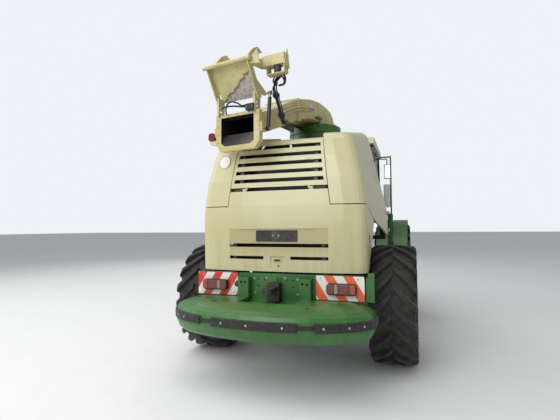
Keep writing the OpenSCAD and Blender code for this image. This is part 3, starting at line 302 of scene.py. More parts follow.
def flap_paint(name, paint, steel_tone):
    """Paint of the guide flap: the crop has rubbed it bare below a ragged, rusty line."""
    coat = Coat(name, coat_roughness=0.3)
    across = coat.x * math.cos(SPOUT_TURN) - (coat.y - RING_MIDDLE.y) * math.sin(SPOUT_TURN)
    ragged = (coat.noise(9, 6, 0.7) - 0.5) * WEAR_RAGGED
    below = (across - WEAR_LEFT) * WEAR_SLOPE + WEAR_FOOT - coat.z + ragged
    on_sheet = 1 - (across > WEAR_RIGHT)
    bare = below.between(-0.004, 0.012) * on_sheet
    rusty = below.between(-0.02, 0.0) * (1 - below.between(0.008, 0.03))
    streak = coat.noise(1, 5, 0.65, coat.stretched(40, 40, 5))
    spots = coat.noise(26, 5, 0.7).between(0.62, 0.66) * 0.8
    body = coat.blend(coat.noise(4, 5).between(0.4, 0.65), paint, shaded(paint, 0.82))
    body = coat.blend(spots, body, (0.16, 0.09, 0.04))
    scoured_sheet = coat.blend(streak.between(0.35, 0.65), steel_tone, shaded(steel_tone, 0.6))
    body = coat.blend(bare, body, scoured_sheet)
    body = coat.blend(rusty * 0.8 * on_sheet, body, (0.13, 0.05, 0.02))
    return coat.set(base_color=body, roughness=0.5 + streak * 0.2, metallic=bare * 0.25,
                    coat_weight=0.2 - bare * 0.2, normal=coat.bumps(streak - spots, 0.15))


def scoured_steel_painted_shade_and_light(name, dark, light):
    """Inside of the tube, polished by crop into streaks, with painted shade: dark above, and paler toward
    the floor and the right wall, where daylight from the mouth is painted.
    """
    coat = Coat(name)
    streak = coat.noise(1, 5, 0.65, coat.stretched(30, 6, 30))
    # Painted daylight from the mouth reaches the floor and the right wall; elsewhere the dark colour is
    # painted shade.
    lit = (coat.x * 1.2 - coat.z + 3.55).between(0.0, 0.45)
    return coat.set(base_color=coat.blend(lit * streak, dark, light), roughness=0.45 + streak * 0.3,
                    metallic=streak * 0.4, normal=coat.bumps(streak, 0.1))


def striped_sheet():
    """Reflective sheet with slanted warning bars, which lean opposite ways on the two sides."""
    coat = Coat("striped_sheet", coat_roughness=0.1)
    side = coat.x > 0
    slant = coat.x + (side * 2 - 1) * coat.z * BAR_LEAN
    bar = ((slant / BAR_PITCH) % 1) < 0.5
    grain = coat.noise(500, 1)
    body = coat.blend(bar, SHEET_WHITE, coat.blend(side, LEFT_RED, RIGHT_RED))
    film = coat.noise(6, 5, 0.65).between(0.45, 0.8) * 0.3
    return coat.set(base_color=coat.blend(film, body, DUST), roughness=0.3 + film * 0.4,
                    coat_weight=0.4 - film * 0.3, normal=coat.bumps(grain, 0.05, 0.001))


cream = panel_paint("cream_panels")
cream_rear = panel_paint("cream_rear_hood", 0.5)
cream_worn = worn_paint("cream_spout", (0.50, 0.42, 0.18), (0.58, 0.52, 0.29), 0.66, (0.16, 0.07, 0.03))
green = worn_paint("green_frame", (0.024, 0.115, 0.016), (0.040, 0.155, 0.026), 0.72, gloss=0.36,
                   dust_share=0.13)
black = worn_paint("black_frame", (0.012, 0.012, 0.012), (0.02, 0.02, 0.019), 0.72)
primer = worn_paint("red_brown_primer", (0.16, 0.035, 0.02), (0.2, 0.06, 0.035), 0.66)
worn_flap = flap_paint("scoured_flap", (0.56, 0.50, 0.24), (0.50, 0.45, 0.41))
tread = dusty_rubber("tyre_rubber", (0.012, 0.011, 0.010), (0.085, 0.070, 0.052), 0.55)
rubber = dusty_rubber("strip_rubber", (0.012, 0.012, 0.012), (0.10, 0.09, 0.07), 0.35, 20)
plastic = moulded_plastic("black_plastic", (0.014, 0.014, 0.014))
tank = moulded_plastic("tank_plastic", (0.02, 0.02, 0.018), 0.55, 0.5)
white = moulded_plastic("white_plastic", (0.62, 0.62, 0.58), 0.45, 0.3)
white_sheet = moulded_plastic("white_sheet", (0.78, 0.78, 0.76), 0.35, 0.1)
red_lens = lamp_lens("red_lens", (0.20, 0.008, 0.006))
clear_lens = lamp_lens("clear_lens", (0.62, 0.62, 0.60))
amber_lens = lamp_lens("amber_lens", (0.36, 0.055, 0.008))
smoked_lens = lamp_lens("smoked_lens", (0.30, 0.26, 0.24))
dull_lens = lamp_lens("dull_lens", (0.30, 0.31, 0.30))
steel = bare_metal("bright_steel", (0.55, 0.55, 0.55))
cast = bare_metal("cast_iron", (0.10, 0.10, 0.10), 0.5, 0.6)
silvered = bare_metal("silvered_glass", (0.80, 0.82, 0.84), 0.04)
# Inside of the spout's tube: polish streaks, with painted shade and painted daylight
polished_tube_painted_shade = scoured_steel_painted_shade_and_light("scoured_steel_painted_shade_and_light", (0.012, 0.010, 0.009), (0.22, 0.16, 0.11))
glass = tinted_glass()
cloth = woven_cloth("seat_cloth", (0.03, 0.03, 0.035))
stripes = striped_sheet()

BY_SLOT = {"green_paint": green, "cream_paint": cream, "black_paint": black, "tyre_rubber": tread,
           "black_rubber": rubber, "cab_glass": glass, "black_plastic": plastic, "lamp_plastic": red_lens,
           "plate_white": stripes, "cloth": cloth, "steel": steel, "cast": cast, "tank_plastic": tank,
           "white_plastic": white}
BY_NODE = {"spout_duct": cream_worn, "spout_bend": cream_worn, "guide_flap": worn_flap,
           "end_flap": cream_worn, "work_lamp": plastic, "rear_hood": cream_rear}
for name, node in cad.items():
    for socket in node.material_slots:
        socket.material = BY_NODE.get(name) or BY_SLOT[socket.material.name.split(".")[0]]


# Mesh work

X, Y, Z = Vector((1, 0, 0)), Vector((0, 1, 0)), Vector((0, 0, 1))
# A lathe profile that ends on its axis ends in a ring this small.
PIN_HOLE = 0.0004
STEPS_A_SPAN = 24


def piece(name, mesh, finishes, body, slot, *stands_for):
    """Puts a finished mesh in the scene, riding on a body of the machine."""
    bmesh.ops.recalc_face_normals(mesh, faces=mesh.faces)
    data = bpy.data.meshes.new(name)
    mesh.to_mesh(data)
    mesh.free()
    for finish in finishes:
        data.materials.append(finish)
    made = bpy.data.objects.new(name, data)
    bpy.context.scene.collection.objects.link(made)
    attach(made, body)
    if stands_for:
        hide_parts(*stands_for)
    return made


def skin(mesh, rings, closed_ring=True, closed_run=False, capped=True, finish=0, smooth=True):
    """Joins rings of points into a surface and gives back its rows of corners."""
    rows = [[mesh.verts.new(point) for point in ring] for ring in rings]
    count = len(rows[0])
    last = len(rows) if closed_run else len(rows) - 1
    for i in range(last):
        for j in range(count if closed_ring else count - 1):
            a, b = rows[i], rows[(i + 1) % len(rows)]
            face = mesh.faces.new((a[j], a[(j + 1) % count], b[(j + 1) % count], b[j]))
            face.smooth, face.material_index = smooth, finish
    if capped and closed_ring and not closed_run:
        for row in (rows[0][::-1], rows[-1]):
            mesh.faces.new(row).material_index = finish
    return rows


def circle(steps):
    """Angles of steps even places round a circle."""
    return [2 * math.pi * k / steps for k in range(steps)]


def rounded_ring(centre, right, up, width, height, radius, steps=4):
    """Points round an oblong with rounded corners."""
    points = []
    for corner, (i, j) in enumerate(((1, 1), (-1, 1), (-1, -1), (1, -1))):
        for k in range(steps + 1):
            turn = math.radians(90 * (corner + k / steps))
            points.append(centre + right * (i * (width / 2 - radius) + radius * math.cos(turn))
                          + up * (j * (height / 2 - radius) + radius * math.sin(turn)))
    return points


def block(mesh, centre, right, up, size, radius, bevel, finish=0):
    """A block of width, height and depth that stands out from centre, its corners and front edge eased."""
    width, height, depth = size
    right, up = Vector(right).normalized(), Vector(up).normalized()
    out = right.cross(up)
    centre = Vector(centre)
    # Each ring's place out from centre, how much smaller it is, and its corners
    stages = ((0, 0, radius), (depth - bevel, 0, radius), (depth - bevel * 0.3, bevel, radius),
              (depth, 2.4 * bevel, radius * 0.9))
    rings = [rounded_ring(centre + out * stand, right, up, width - less, height - less, corner)
             for stand, less, corner in stages]
    skin(mesh, rings, finish=finish, smooth=False)


def turned(mesh, centre, axis, profile, steps, finish=0, smooth=True):
    """A part turned on a lathe, from pairs of distance along the axis and radius."""
    axis = Vector(axis).normalized()
    side = axis.orthogonal().normalized()
    other = axis.cross(side)
    centre = Vector(centre)
    rings = [[centre + axis * along + (side * math.cos(a) + other * math.sin(a)) * max(radius, PIN_HOLE)
              for a in circle(steps)] for along, radius in profile]
    return skin(mesh, rings, finish=finish, smooth=smooth)


def bolt(mesh, place, axis, size, finish=0):
    """A washer and a hexagon head. Size is half the head's width, and the rest are shares of it."""
    washer = [(-0.1, 1.25), (0.14, 1.25), (0.2, 1.15)]
    head = [(0.1, 1), (0.62, 1), (0.78, 0.82)]
    turned(mesh, place, axis, [(along * size, radius * size) for along, radius in washer], 16, finish)
    turned(mesh, place, axis, [(along * size, radius * size) for along, radius in head], 6, finish, False)


def eased(points, count):
    """A smooth run of count points through the points given."""
    points = [Vector(p) for p in points]
    ends = [points[0] * 2 - points[1], *points, points[-1] * 2 - points[-2]]
    fine = []
    for i in range(len(points) - 1):
        a, b, c, d = ends[i:i + 4]
        for k in range(STEPS_A_SPAN):
            t = k / STEPS_A_SPAN
            fine.append(0.5 * (2 * b + (c - a) * t + (2 * a - 5 * b + 4 * c - d) * t ** 2
                               + (3 * b - a - 3 * c + d) * t ** 3))
    fine.append(points[-1])
    lengths = [0]
    for a, b in zip(fine, fine[1:]):
        lengths.append(lengths[-1] + (b - a).length)
    run, k = [], 0
    for n in range(count):
        want = lengths[-1] * n / (count - 1)
        while k < len(lengths) - 2 and lengths[k + 1] < want:
            k += 1
        share = (want - lengths[k]) / max(lengths[k + 1] - lengths[k], 1e-9)
        run.append(fine[k].lerp(fine[k + 1], min(share, 1)))
    return run


def tube(mesh, path, radius, steps=10, finish=0):
    """A round tube along a path."""
    path = [Vector(p) for p in path]
    along = (path[1] - path[0]).normalized()
    side = along.orthogonal().normalized()
    rings = []
    for n, place in enumerate(path):
        ahead = (path[min(n + 1, len(path) - 1)] - path[max(n - 1, 0)]).normalized()
        side = (side - ahead * side.dot(ahead)).normalized()
        other = ahead.cross(side)
        rings.append([place + (side * math.cos(a) + other * math.sin(a)) * radius for a in circle(steps)])
    skin(mesh, rings, finish=finish)


def touch(node, start, aim):
    """Where a line from start meets a CAD node, and the surface's direction there."""
    met, place, facing, _ = cad[node].ray_cast(Vector(start), Vector(aim).normalized())
    if not met:
        raise ValueError("nothing of " + node + " lies that way")
    return place, facing


# Tyres

TYRES = [
    # name, body, lugs a side
    ("tyre_rear_left", "wheel_rear_left", 20),
    ("tyre_rear_right", "wheel_rear_right", 20),
    ("tyre_front_left", "wheel_front_left", 22),
    ("tyre_front_right", "wheel_front_right", 22),
]
# The bead's radius as a share of the tyre's
BEAD = 0.42
SIDEWALL = [
    # share of the half width, share of the tyre's radius, length added to it
    (0.62, BEAD, 0.005),
    (0.70, BEAD, 0.03),
    (0.86, BEAD, 0.10),
    (0.965, BEAD, 0.20),
    (0.985, 0.72, 0),
    (0.965, 0.80, 0),
    (0.93, 1, -0.155),
    (0.88, 1, -0.115),
]
CASING_STEPS = 96
LUG_HEIGHT = 0.052
LUG_SWEEP = math.radians(23)
LUG_EDGE = 0.008
LUG_RUN = [
    # share of the half width, top and foot as shares of the tyre's radius; None sets the foot in the casing
    (0.03, 1.0, None),
    (0.18, 1.0, None),
    (0.36, 1.0, None),
    (0.55, 1.0, None),
    (0.74, 1.0, None),
    (0.90, 0.985, 0.86),
    (0.985, 0.945, 0.86),
    (1.0, 0.885, 0.80),
]


def tyre(name, body, lugs):
    low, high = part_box(name)
    middle = (low + high) / 2
    radius, half = (high.z - low.z) / 2, (high.x - low.x) / 2

    def casing(across):
        """Radius of the plain casing at a share of the half width."""
        return radius - LUG_HEIGHT - 0.045 * abs(across) ** 3.2

    def at(across, r, angle):
        return (middle.x + across, middle.y + r * math.cos(angle), middle.z + r * math.sin(angle))

    wall = [(across, share * radius + more) for across, share, more in SIDEWALL]
    crown = [(a / 8, casing(a / 8)) for a in range(7, -8, -1)]
    inside = [(-0.60, BEAD * radius - 0.02), (0.60, BEAD * radius - 0.02)]
    section = wall + crown + [(-across, r) for across, r in reversed(wall)] + inside
    mesh = bmesh.new()
    skin(mesh, [[at(across * half, r, angle) for across, r in section] for angle in circle(CASING_STEPS)],
         closed_run=True)
    for k in range(lugs * 2):
        hand = 1 if k % 2 else -1
        rings = []
        for across, top_share, foot_share in LUG_RUN:
            round_off = 0.010 * across ** 2 if across < 1 else 0
            top = radius * top_share - round_off
            foot = radius * foot_share if foot_share else casing(across) - 0.012
            width = 0.030 + 0.012 * across
            middle_turn = math.pi * k / lugs + LUG_SWEEP * across ** 0.85
            outline = ((foot, 1.55), (top - LUG_EDGE, 1.05), (top, 0.9),
                       (top, -0.9), (top - LUG_EDGE, -1.05), (foot, -1.55))
            rings.append([at(hand * half * min(across, 0.985 if r > foot else 0.955), r,
                             middle_turn + share * width / radius) for r, share in outline])
        skin(mesh, rings, smooth=False)
    piece(name + "_tread", mesh, [tread], body, "tyre_rubber", name)


for row in TYRES:
    tyre(*row)


# Wheel nuts and hub caps

WHEELS = [
    # rim, body, side, radius of the circle of nuts
    ("rim_rear_left", "wheel_rear_left", -1, 0.268),
    ("rim_rear_right", "wheel_rear_right", 1, 0.268),
    ("rim_front_left", "wheel_front_left", -1, 0.29),
    ("rim_front_right", "wheel_front_right", 1, 0.29),
]
# Profile of the hub cap, as distance out from the rim's middle and radius
HUB_CAP = [(0.07, 0.128), (0.085, 0.128), (0.095, 0.118), (0.135, 0.108), (0.15, 0.09), (0.158, 0.03),
           (0.158, 0)]


def wheel_fixings(name, body, side, nut_circle):
    low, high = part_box(name)
    middle = (low + high) / 2
    nuts = bmesh.new()
    for a in circle(10):
        start = middle + Vector((side * 0.5, math.cos(a) * nut_circle, math.sin(a) * nut_circle))
        bolt(nuts, touch(name, start, (-side, 0, 0))[0], X * side, 0.017)
    piece(name + "_nuts", nuts, [steel], body, "steel")
    cap = bmesh.new()
    turned(cap, middle, X * side, HUB_CAP, 48)
    for k in range(6):
        a = 2 * math.pi * (k + 0.5) / 6
        place = middle + Vector((side * 0.086, math.cos(a) * 0.12, math.sin(a) * 0.12))
        bolt(cap, place, X * side, 0.006, 1)
    piece(name + "_hub", cap, [green, steel], body, "green_paint")


for row in WHEELS:
    wheel_fixings(*row)


# Rear lamps: dark housings with a red, a smoked, a red and an amber window

LAMP_INNER_END = 0.64
LENSES = [
    # finish, start and end as shares of the lamp from its inner end
    (1, 0.03, 0.25),
    (2, 0.265, 0.395),
    (1, 0.41, 0.77),
    (3, 0.785, 0.97),
]


def rear_lamps():
    low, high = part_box("tail_lamps")
    mesh = bmesh.new()
    tall = high.z - low.z
    wide, deep = high.x - LAMP_INNER_END, high.y - low.y
    for side in (-1, 1):
        middle = Vector((side * (LAMP_INNER_END + wide / 2), high.y, (low.z + high.z) / 2))
        block(mesh, middle, X, Z, (wide, tall, deep - 0.008), 0.035, 0.008)
        for finish, start, end in LENSES:
            place = Vector((side * (LAMP_INNER_END + wide * (start + end) / 2), low.y + 0.010, middle.z))
            block(mesh, place, X, Z, (wide * (end - start), tall - 0.026, 0.0098), 0.012, 0.003, finish)
    finishes = [plastic, red_lens, smoked_lens, amber_lens]
    piece("rear_lamps", mesh, finishes, "chassis", "lamp_plastic", "tail_lamps")


rear_lamps()


# Blank plate carrier, blank round sign, latch and filler cap

# Lines that look for a surface from behind the machine start here.
BEHIND = -4.2


def plate_carrier():
    place, _ = touch("rear_hood", (-0.005, BEHIND, 1.727), Y)
    face = place - Y * 0.009
    mesh = bmesh.new()
    block(mesh, place, X, Z, (0.547, 0.141, 0.010), 0.012, 0.003)
    for z in (-0.063, 0.063):
        block(mesh, face + Z * z, X, Z, (0.535, 0.010, 0.005), 0.003, 0.002)
    for x in (-0.2, -0.13, 0.13, 0.2):
        block(mesh, face + X * x, X, Z, (0.05, 0.085, 0.003), 0.012, 0.001)
    rivet = [(0, 0.011), (0.002, 0.011), (0.0035, 0.007), (0.0035, 0)]
    for x in (-0.045, 0.03):
        turned(mesh, face + X * x + Z * 0.004, -Y, rivet, 16, 1)
    piece("plate_carrier", mesh, [plastic, steel], "rear_hood", "black_plastic")


def round_sign():
    place, facing = touch("side_panel_left", (-0.764, BEHIND, 2.71), Y)
    sheet = [(0.0002, 0.092), (0.0016, 0.092), (0.002, 0.0905), (0.002, 0)]
    rim = [(0.0012, 0.0925), (0.0026, 0.0925), (0.0026, 0.0885), (0.0012, 0.0885)]
    mesh = bmesh.new()
    turned(mesh, place, facing, sheet, 64)
    turned(mesh, place, facing, rim, 64, 1)
    piece("round_sign", mesh, [white_sheet, plastic], "side_panel_left", "plate_white")


def latch():
    place, _ = touch("rear_hood", (0.004, BEHIND, 1.43), Y)
    keyhole, _ = touch("rear_hood", (0.02, BEHIND, 1.355), Y)
    mesh = bmesh.new()
    block(mesh, place, X, Z, (0.10, 0.058, 0.006), 0.006, 0.002)
    block(mesh, place - Y * 0.005 - Z * 0.006, X, Z, (0.074, 0.024, 0.006), 0.008, 0.002, 1)
    turned(mesh, keyhole, -Y, [(0.0001, 0.013), (0.003, 0.012), (0.003, 0.007), (0.0005, 0.007)], 24, 2)
    piece("hood_latch", mesh, [cream_worn, plastic, plastic], "rear_hood", "cream_paint")


def filler():
    middle = Vector((1.045, -2.5, 1.68))
    collar = [(-0.03, 0), (-0.03, 0.055), (0.034, 0.0615), (0.034, 0.059), (-0.022, 0.052)]
    cap = [(-0.024, 0.030), (0.0, 0.030), (0.006, 0.026), (0.006, 0)]
    mesh = bmesh.new()
    turned(mesh, middle, X, collar, 40)
    turned(mesh, middle, X, cap, 32, 1)
    block(mesh, middle + X * 0.005, Y, Z, (0.014, 0.05, 0.014), 0.005, 0.003, 1)
    piece("filler_cap", mesh, [plastic, rubber], "rear_hood", "black_plastic")


plate_carrier()
round_sign()
latch()
filler()


# Fixings on the bumper, the beam and the striped plates

BEAM_BOLTS = [
    # across, height
    (-0.28, 1.02), (-0.28, 1.2), (0.28, 1.02), (0.28, 1.2), (-0.12, 1.21), (0.12, 1.21),
]


def strip_screws():
    mesh = bmesh.new()
    for x in (-1.05, -0.92, -0.36, -0.06, 0.33, 0.74, 0.98, 1.12):
        place, facing = touch("bumper_strip", (x * 1.02, BEHIND, 0.81), (-x * 0.02, 1, 0))
        turned(mesh, place, facing, [(0.0003, 0.013), (0.003, 0.012), (0.0045, 0.006), (0.0045, 0)], 16)
    piece("strip_screws", mesh, [steel], "chassis", "steel")


def deck_clips():
    mesh = bmesh.new()
    for x, y in ((-0.93, -3.02), (-0.62, -3.23), (0.52, -3.3), (0.87, -3.05)):
        place, facing = touch("bumper", (x, y, 2), -Z)
        block(mesh, place, X, facing.cross(X), (0.06, 0.022, 0.006), 0.006, 0.002)
        for side in (-0.02, 0.02):
            bolt(mesh, place + X * side + facing * 0.006, facing, 0.005, 1)
    piece("deck_clips", mesh, [plastic, steel], "chassis", "black_plastic")


def beam_bolts():
    mesh = bmesh.new()
    for x in (-1.0, -0.56, 0.56, 1.0):
        for z in (1.012, 1.232):
            place, facing = touch("warning_plates", (x, BEHIND, z), Y)
            turned(mesh, place, facing, [(0.0003, 0.009), (0.002, 0.009), (0.003, 0.005), (0.003, 0)], 14)
    for x, z in BEAM_BOLTS:
        place, facing = touch("rear_beam", (x, BEHIND, z), Y)
        bolt(mesh, place, facing, 0.011)
    piece("beam_bolts", mesh, [steel], "chassis", "steel")


def trailer_socket():
    place, _ = touch("rear_beam", (-0.497, BEHIND, 1.13), Y)
    shell = [(0.0005, 0.036), (0.012, 0.036), (0.016, 0.028), (0.05, 0.028), (0.054, 0.033), (0.062, 0.033),
             (0.066, 0.026), (0.066, 0)]
    mesh = bmesh.new()
    turned(mesh, place, -Y, shell, 28)
    block(mesh, place - Y * 0.02 + Z * 0.034, X, Z, (0.03, 0.012, 0.04), 0.004, 0.002)
    piece("trailer_socket", mesh, [plastic], "chassis", "black_plastic")


strip_screws()
deck_clips()
beam_bolts()
trailer_socket()


# The spout. Places on it are given across, along and above, in the spout's own directions.

ACROSS = Vector((math.cos(SPOUT_TURN), -math.sin(SPOUT_TURN), 0))
ALONG = Vector((math.sin(SPOUT_TURN), math.cos(SPOUT_TURN), 0))
# Half the tube's width inside
TUBE_HALF = 0.2485
# Inside of the spout's tube: distance behind the ring, floor, ceiling and cut of the lower corners
TUBE = [(2.3245, 2.864, 3.228, 0.039), (2.2515, 3.021, 3.214, 0.001), (2.244, 3.024, 3.210, 0.001),
        (2.06, 3.069, 3.298, 0.001), (1.80, 3.173, 3.412, 0.001), (1.63, 3.239, 3.498, 0.001),
        (1.45, 3.317, 3.592, 0.001), (1.25, 3.406, 3.672, 0.001)]
HOSES = [
    # name, radius, points
    ("mouth_hose", 0.011, [(-0.235, -2.345, 3.352), (-0.12, -2.362, 3.356), (-0.005, -2.366, 3.342),
                           (0.11, -2.362, 3.318), (0.165, -2.352, 3.312)]),
    ("arched_hose", 0.010, [(-0.150, -2.342, 3.262), (-0.146, -2.362, 3.31), (-0.115, -2.378, 3.372),
                            (-0.044, -2.384, 3.398), (0.040, -2.384, 3.372), (0.105, -2.376, 3.330),
                            (0.165, -2.366, 3.330)]),
]
BUNDLE = [
    # how far each hose lies outward, rearward and higher, and its loop's radius
    (0.000, 0.000, 0.000, 0.062),
    (0.022, 0.012, 0.004, 0.078),
    (0.006, 0.026, -0.008, 0.070),
    (0.030, 0.034, 0.012, 0.088),
    (0.046, 0.010, -0.004, 0.055),
]
BUNDLE_ROUTE = [(0.330, -1.640, 3.270), (0.375, -1.760, 3.205), (0.405, -1.880, 3.190),
                (0.412, -1.940, 3.260), (0.412, -2.000, 3.380), (0.410, -2.070, 3.480),
                (0.415, -2.125, 3.560)]
LOOP_MIDDLE = (0.500, -2.115, 3.645)
# Each loop goes most of the way round, in steps of 0.8 radians.
LOOP_TURNS = [math.pi + 0.8 * k for k in range(-1, 7)]
PIPE_RADIUS = 0.013
PIPES = [
    [(0.305, -1.720, 3.335), (0.305, -1.600, 3.395), (0.305, -1.439, 3.462), (0.305, -1.230, 3.545),
     (0.305, -1.023, 3.600), (0.305, -0.840, 3.630)],
    [(0.305, -1.740, 3.368), (0.305, -1.600, 3.440), (0.305, -1.439, 3.507), (0.305, -1.230, 3.590),
     (0.305, -1.023, 3.645), (0.305, -0.840, 3.672)],
]
PIPE_NUT = [(-0.03, 0.019), (0.0, 0.019), (0.004, 0.016), (0.03, 0.016), (0.03, 0.01)]
CLAMPS = [
    # along, height of the middle, how tall
    (-1.600, 3.418, 0.115),
    (-1.439, 3.485, 0.120),
    (-1.023, 3.624, 0.110),
]
# The spout's right wall, where things are screwed to it
RIGHT_WALL = 0.262


def on_spout(across, along, height):
    return RING_MIDDLE + ACROSS * across + ALONG * along + Z * height


def tube_liner():
    mesh = bmesh.new()
    rings = []
    for back, floor, ceiling, cut in TUBE:
        low_corner = TUBE_HALF - cut * 1.5
        outline = ((-TUBE_HALF, floor + cut), (-low_corner, floor), (low_corner, floor),
                   (TUBE_HALF, floor + cut), (TUBE_HALF, ceiling), (-TUBE_HALF, ceiling))
        rings.append([on_spout(x, -back, z) for x, z in outline])
    skin(mesh, rings, capped=False, smooth=False)
    # The far end is closed with the same finish, a dark sheet that paints the deep shade further in.
    mesh.faces.new([mesh.verts.new(p) for p in rings[-1]])
    piece("spout_liner", mesh, [polished_tube_painted_shade], "spout", "steel")


def mouth_hoses():
    for name, radius, points in HOSES:
        mesh = bmesh.new()
        tube(mesh, [on_spout(*p) for p in eased(points, 40)], radius)
        piece(name, mesh, [rubber], "spout", "black_rubber")


def hose_bundle():
    """Hoses that rise beside the flap's cylinder and end in loops under the lamp box, with two clips."""
    mesh = bmesh.new()
    loop_x, loop_y, loop_z = LOOP_MIDDLE
    for out, back, higher, size in BUNDLE:
        rise = [(x + out, y - back, z + higher) for x, y, z in BUNDLE_ROUTE]
        loop = [(loop_x + out * 0.4 + size * math.cos(a), loop_y - back + 0.02 * math.sin(2 * a),
                 loop_z + higher - size * 0.9 * math.sin(a)) for a in LOOP_TURNS]
        tube(mesh, [on_spout(*p) for p in eased(rise + loop, 120)], 0.0085, 8)
    for across, along, height in (BUNDLE_ROUTE[3], BUNDLE_ROUTE[5]):
        middle = on_spout(across + 0.022, along - 0.016, height + 0.002)
        turned(mesh, middle - ALONG * 0.012 - Z * 0.004, ALONG * 0.8 + Z * 0.6,
               [(0, 0.034), (0, 0.046), (0.02, 0.046), (0.02, 0.034)], 20, 1)
    piece("hose_bundle", mesh, [rubber, plastic], "spout", "black_rubber")


def spout_pipes():
    mesh = bmesh.new()
    for points in PIPES:
        path = [on_spout(*p) for p in eased(points, 36)]
        tube(mesh, path, PIPE_RADIUS, 12)
        for end, aim in ((path[0], path[0] - path[1]), (path[-1], path[-1] - path[-2])):
            turned(mesh, end, aim, PIPE_NUT, 6, 1, False)
    for along, height, tall in CLAMPS:
        block(mesh, on_spout(RIGHT_WALL, along, height), -ALONG, Z, (0.034, tall, 0.062), 0.006, 0.003, 2)
        for end in (-0.36, 0, 0.36):
            bolt(mesh, on_spout(RIGHT_WALL + 0.062, along, height + end * tall), ACROSS, 0.006, 1)
    piece("spout_pipes", mesh, [cream_worn, steel, plastic], "spout", "cream_paint")


def mouth_box():
    mesh = bmesh.new()
    block(mesh, on_spout(0.222, -2.322, 3.300), ACROSS, Z, (0.118, 0.080, 0.062), 0.010, 0.005)
    for across in (0.18, 0.265):
        bolt(mesh, on_spout(across, -2.384, 3.300), -ALONG, 0.006, 1)
    piece("mouth_box", mesh, [plastic, steel], "spout", "black_plastic")


def valve_block():
    middle, half_pitch = -0.745, 0.055
    coupling = [(0, 0.017), (0.035, 0.017), (0.042, 0.013), (0.06, 0.013), (0.06, 0)]
    mesh = bmesh.new()
    block(mesh, on_spout(RIGHT_WALL, middle, 3.640), -ALONG, Z, (0.17, 0.086, 0.075), 0.008, 0.004)
    for along in (middle - half_pitch, middle, middle + half_pitch):
        turned(mesh, on_spout(0.300, along, 3.680), Z, coupling, 20, 1)
    piece("valve_block", mesh, [primer, steel], "spout", "black_paint")


def side_reflector():
    """An oval reflector on a post, squeezed from a round one."""
    height, squeeze = 3.575, 0.56
    mesh = bmesh.new()
    turned(mesh, on_spout(0.345, -0.560, 3.440), Z, [(0, 0.014), (0.09, 0.014)], 16)
    block(mesh, on_spout(RIGHT_WALL, -0.560, 3.455), -ALONG, Z, (0.05, 0.03, 0.09), 0.004, 0.003)
    for inset, depth, finish in ((0, 0.05, 0), (0.014, 0.056, 1)):
        outline = [(0.10 - inset, 0), (0.10 - inset, depth - 0.008), (0.093 - inset, depth), (0, depth)]
        for row in turned(mesh, on_spout(0.345, -0.545, height), -ALONG, outline, 40, finish):
            for corner in row:
                corner.co.z = height + (corner.co.z - height) * squeeze
    piece("side_reflector", mesh, [green, dull_lens], "spout", "green_paint")


def hose_cover():
    mesh = bmesh.new()
    block(mesh, on_spout(RIGHT_WALL, -1.50, 3.262), -ALONG, Z, (0.42, 0.115, 0.03), 0.02, 0.006)
    block(mesh, on_spout(RIGHT_WALL, -1.12, 3.452), -ALONG, Z, (0.10, 0.06, 0.004), 0.004, 0.001, 1)
    piece("hose_cover", mesh, [plastic, white], "spout", "black_plastic")


def spout_bolts():
    """Bolts of the flange between duct and bend, and of the mouth's frame."""
    joint, mouth = -1.193, -2.326
    mesh = bmesh.new()
    for across in (-0.268, 0.268):
        for height in (3.44, 3.53, 3.62, 3.70):
            bolt(mesh, on_spout(across, joint, height), -ALONG, 0.008)
    for across in (-0.2, -0.1, 0, 0.1, 0.2):
        bolt(mesh, on_spout(across, joint, 3.726), -ALONG, 0.008)
        bolt(mesh, on_spout(across * 1.3, mouth, 3.245), -ALONG, 0.008)
    for across in (-0.3, 0.3):
        for height in (2.92, 3.02, 3.12, 3.22):
            bolt(mesh, on_spout(across, mouth, height), -ALONG, 0.008)
    piece("spout_bolts", mesh, [steel], "spout", "steel")


tube_liner()
mouth_hoses()
hose_bundle()
spout_pipes()
mouth_box()
valve_block()
side_reflector()
hose_cover()
spout_bolts()


# Lamps, mirrors and small fittings of the cab

# Lines that look for a surface from in front of the machine start here.
AHEAD = 4


def mirror_faces():
    mesh = bmesh.new()
    for side in (-1, 1):
        block(mesh, (side * 1.05, 2.321, 3.17), X, Z, (0.140, 0.315, 0.006), 0.02, 0.002)
    piece("mirror_faces", mesh, [silvered], "chassis", "black_plastic")


def roof_lamps():
    """Four lamps on the front edge of the roof, and a beacon on its left."""
    mesh = bmesh.new()
    for x in (-0.66, -0.40, 0.40, 0.66):
        place, _ = touch("cab_roof", (x, AHEAD, 3.54), -Y)
        block(mesh, place, -X, Z, (0.15, 0.09, 0.028), 0.012, 0.004)
        block(mesh, place + Y * 0.026, -X, Z, (0.132, 0.072, 0.008), 0.010, 0.002, 1)
    place, _ = touch("cab_roof", (-0.62, 0.75, 5), -Z)
    turned(mesh, place, Z, [(-0.004, 0.062), (0.02, 0.062), (0.024, 0.055)], 32)
    turned(mesh, place, Z, [(0.02, 0.052), (0.10, 0.050), (0.118, 0.040), (0.122, 0)], 32, 2)
    piece("roof_lamps", mesh, [plastic, clear_lens, amber_lens], "chassis", "black_plastic")


def door_handle():
    place, _ = touch("cab_door", (-1.5, 2.112, 2.62), X)
    # The grip, as distance out from the door and height
    grip = ((0.012, -0.05), (0.045, -0.045), (0.05, 0), (0.045, 0.045), (0.012, 0.05))
    mesh = bmesh.new()
    block(mesh, place, -Y, Z, (0.05, 0.15, 0.014), 0.012, 0.004)
    tube(mesh, [place - X * out + Z * up for out, up in grip], 0.008)
    piece("door_handle", mesh, [plastic], "cab_door", "black_plastic")


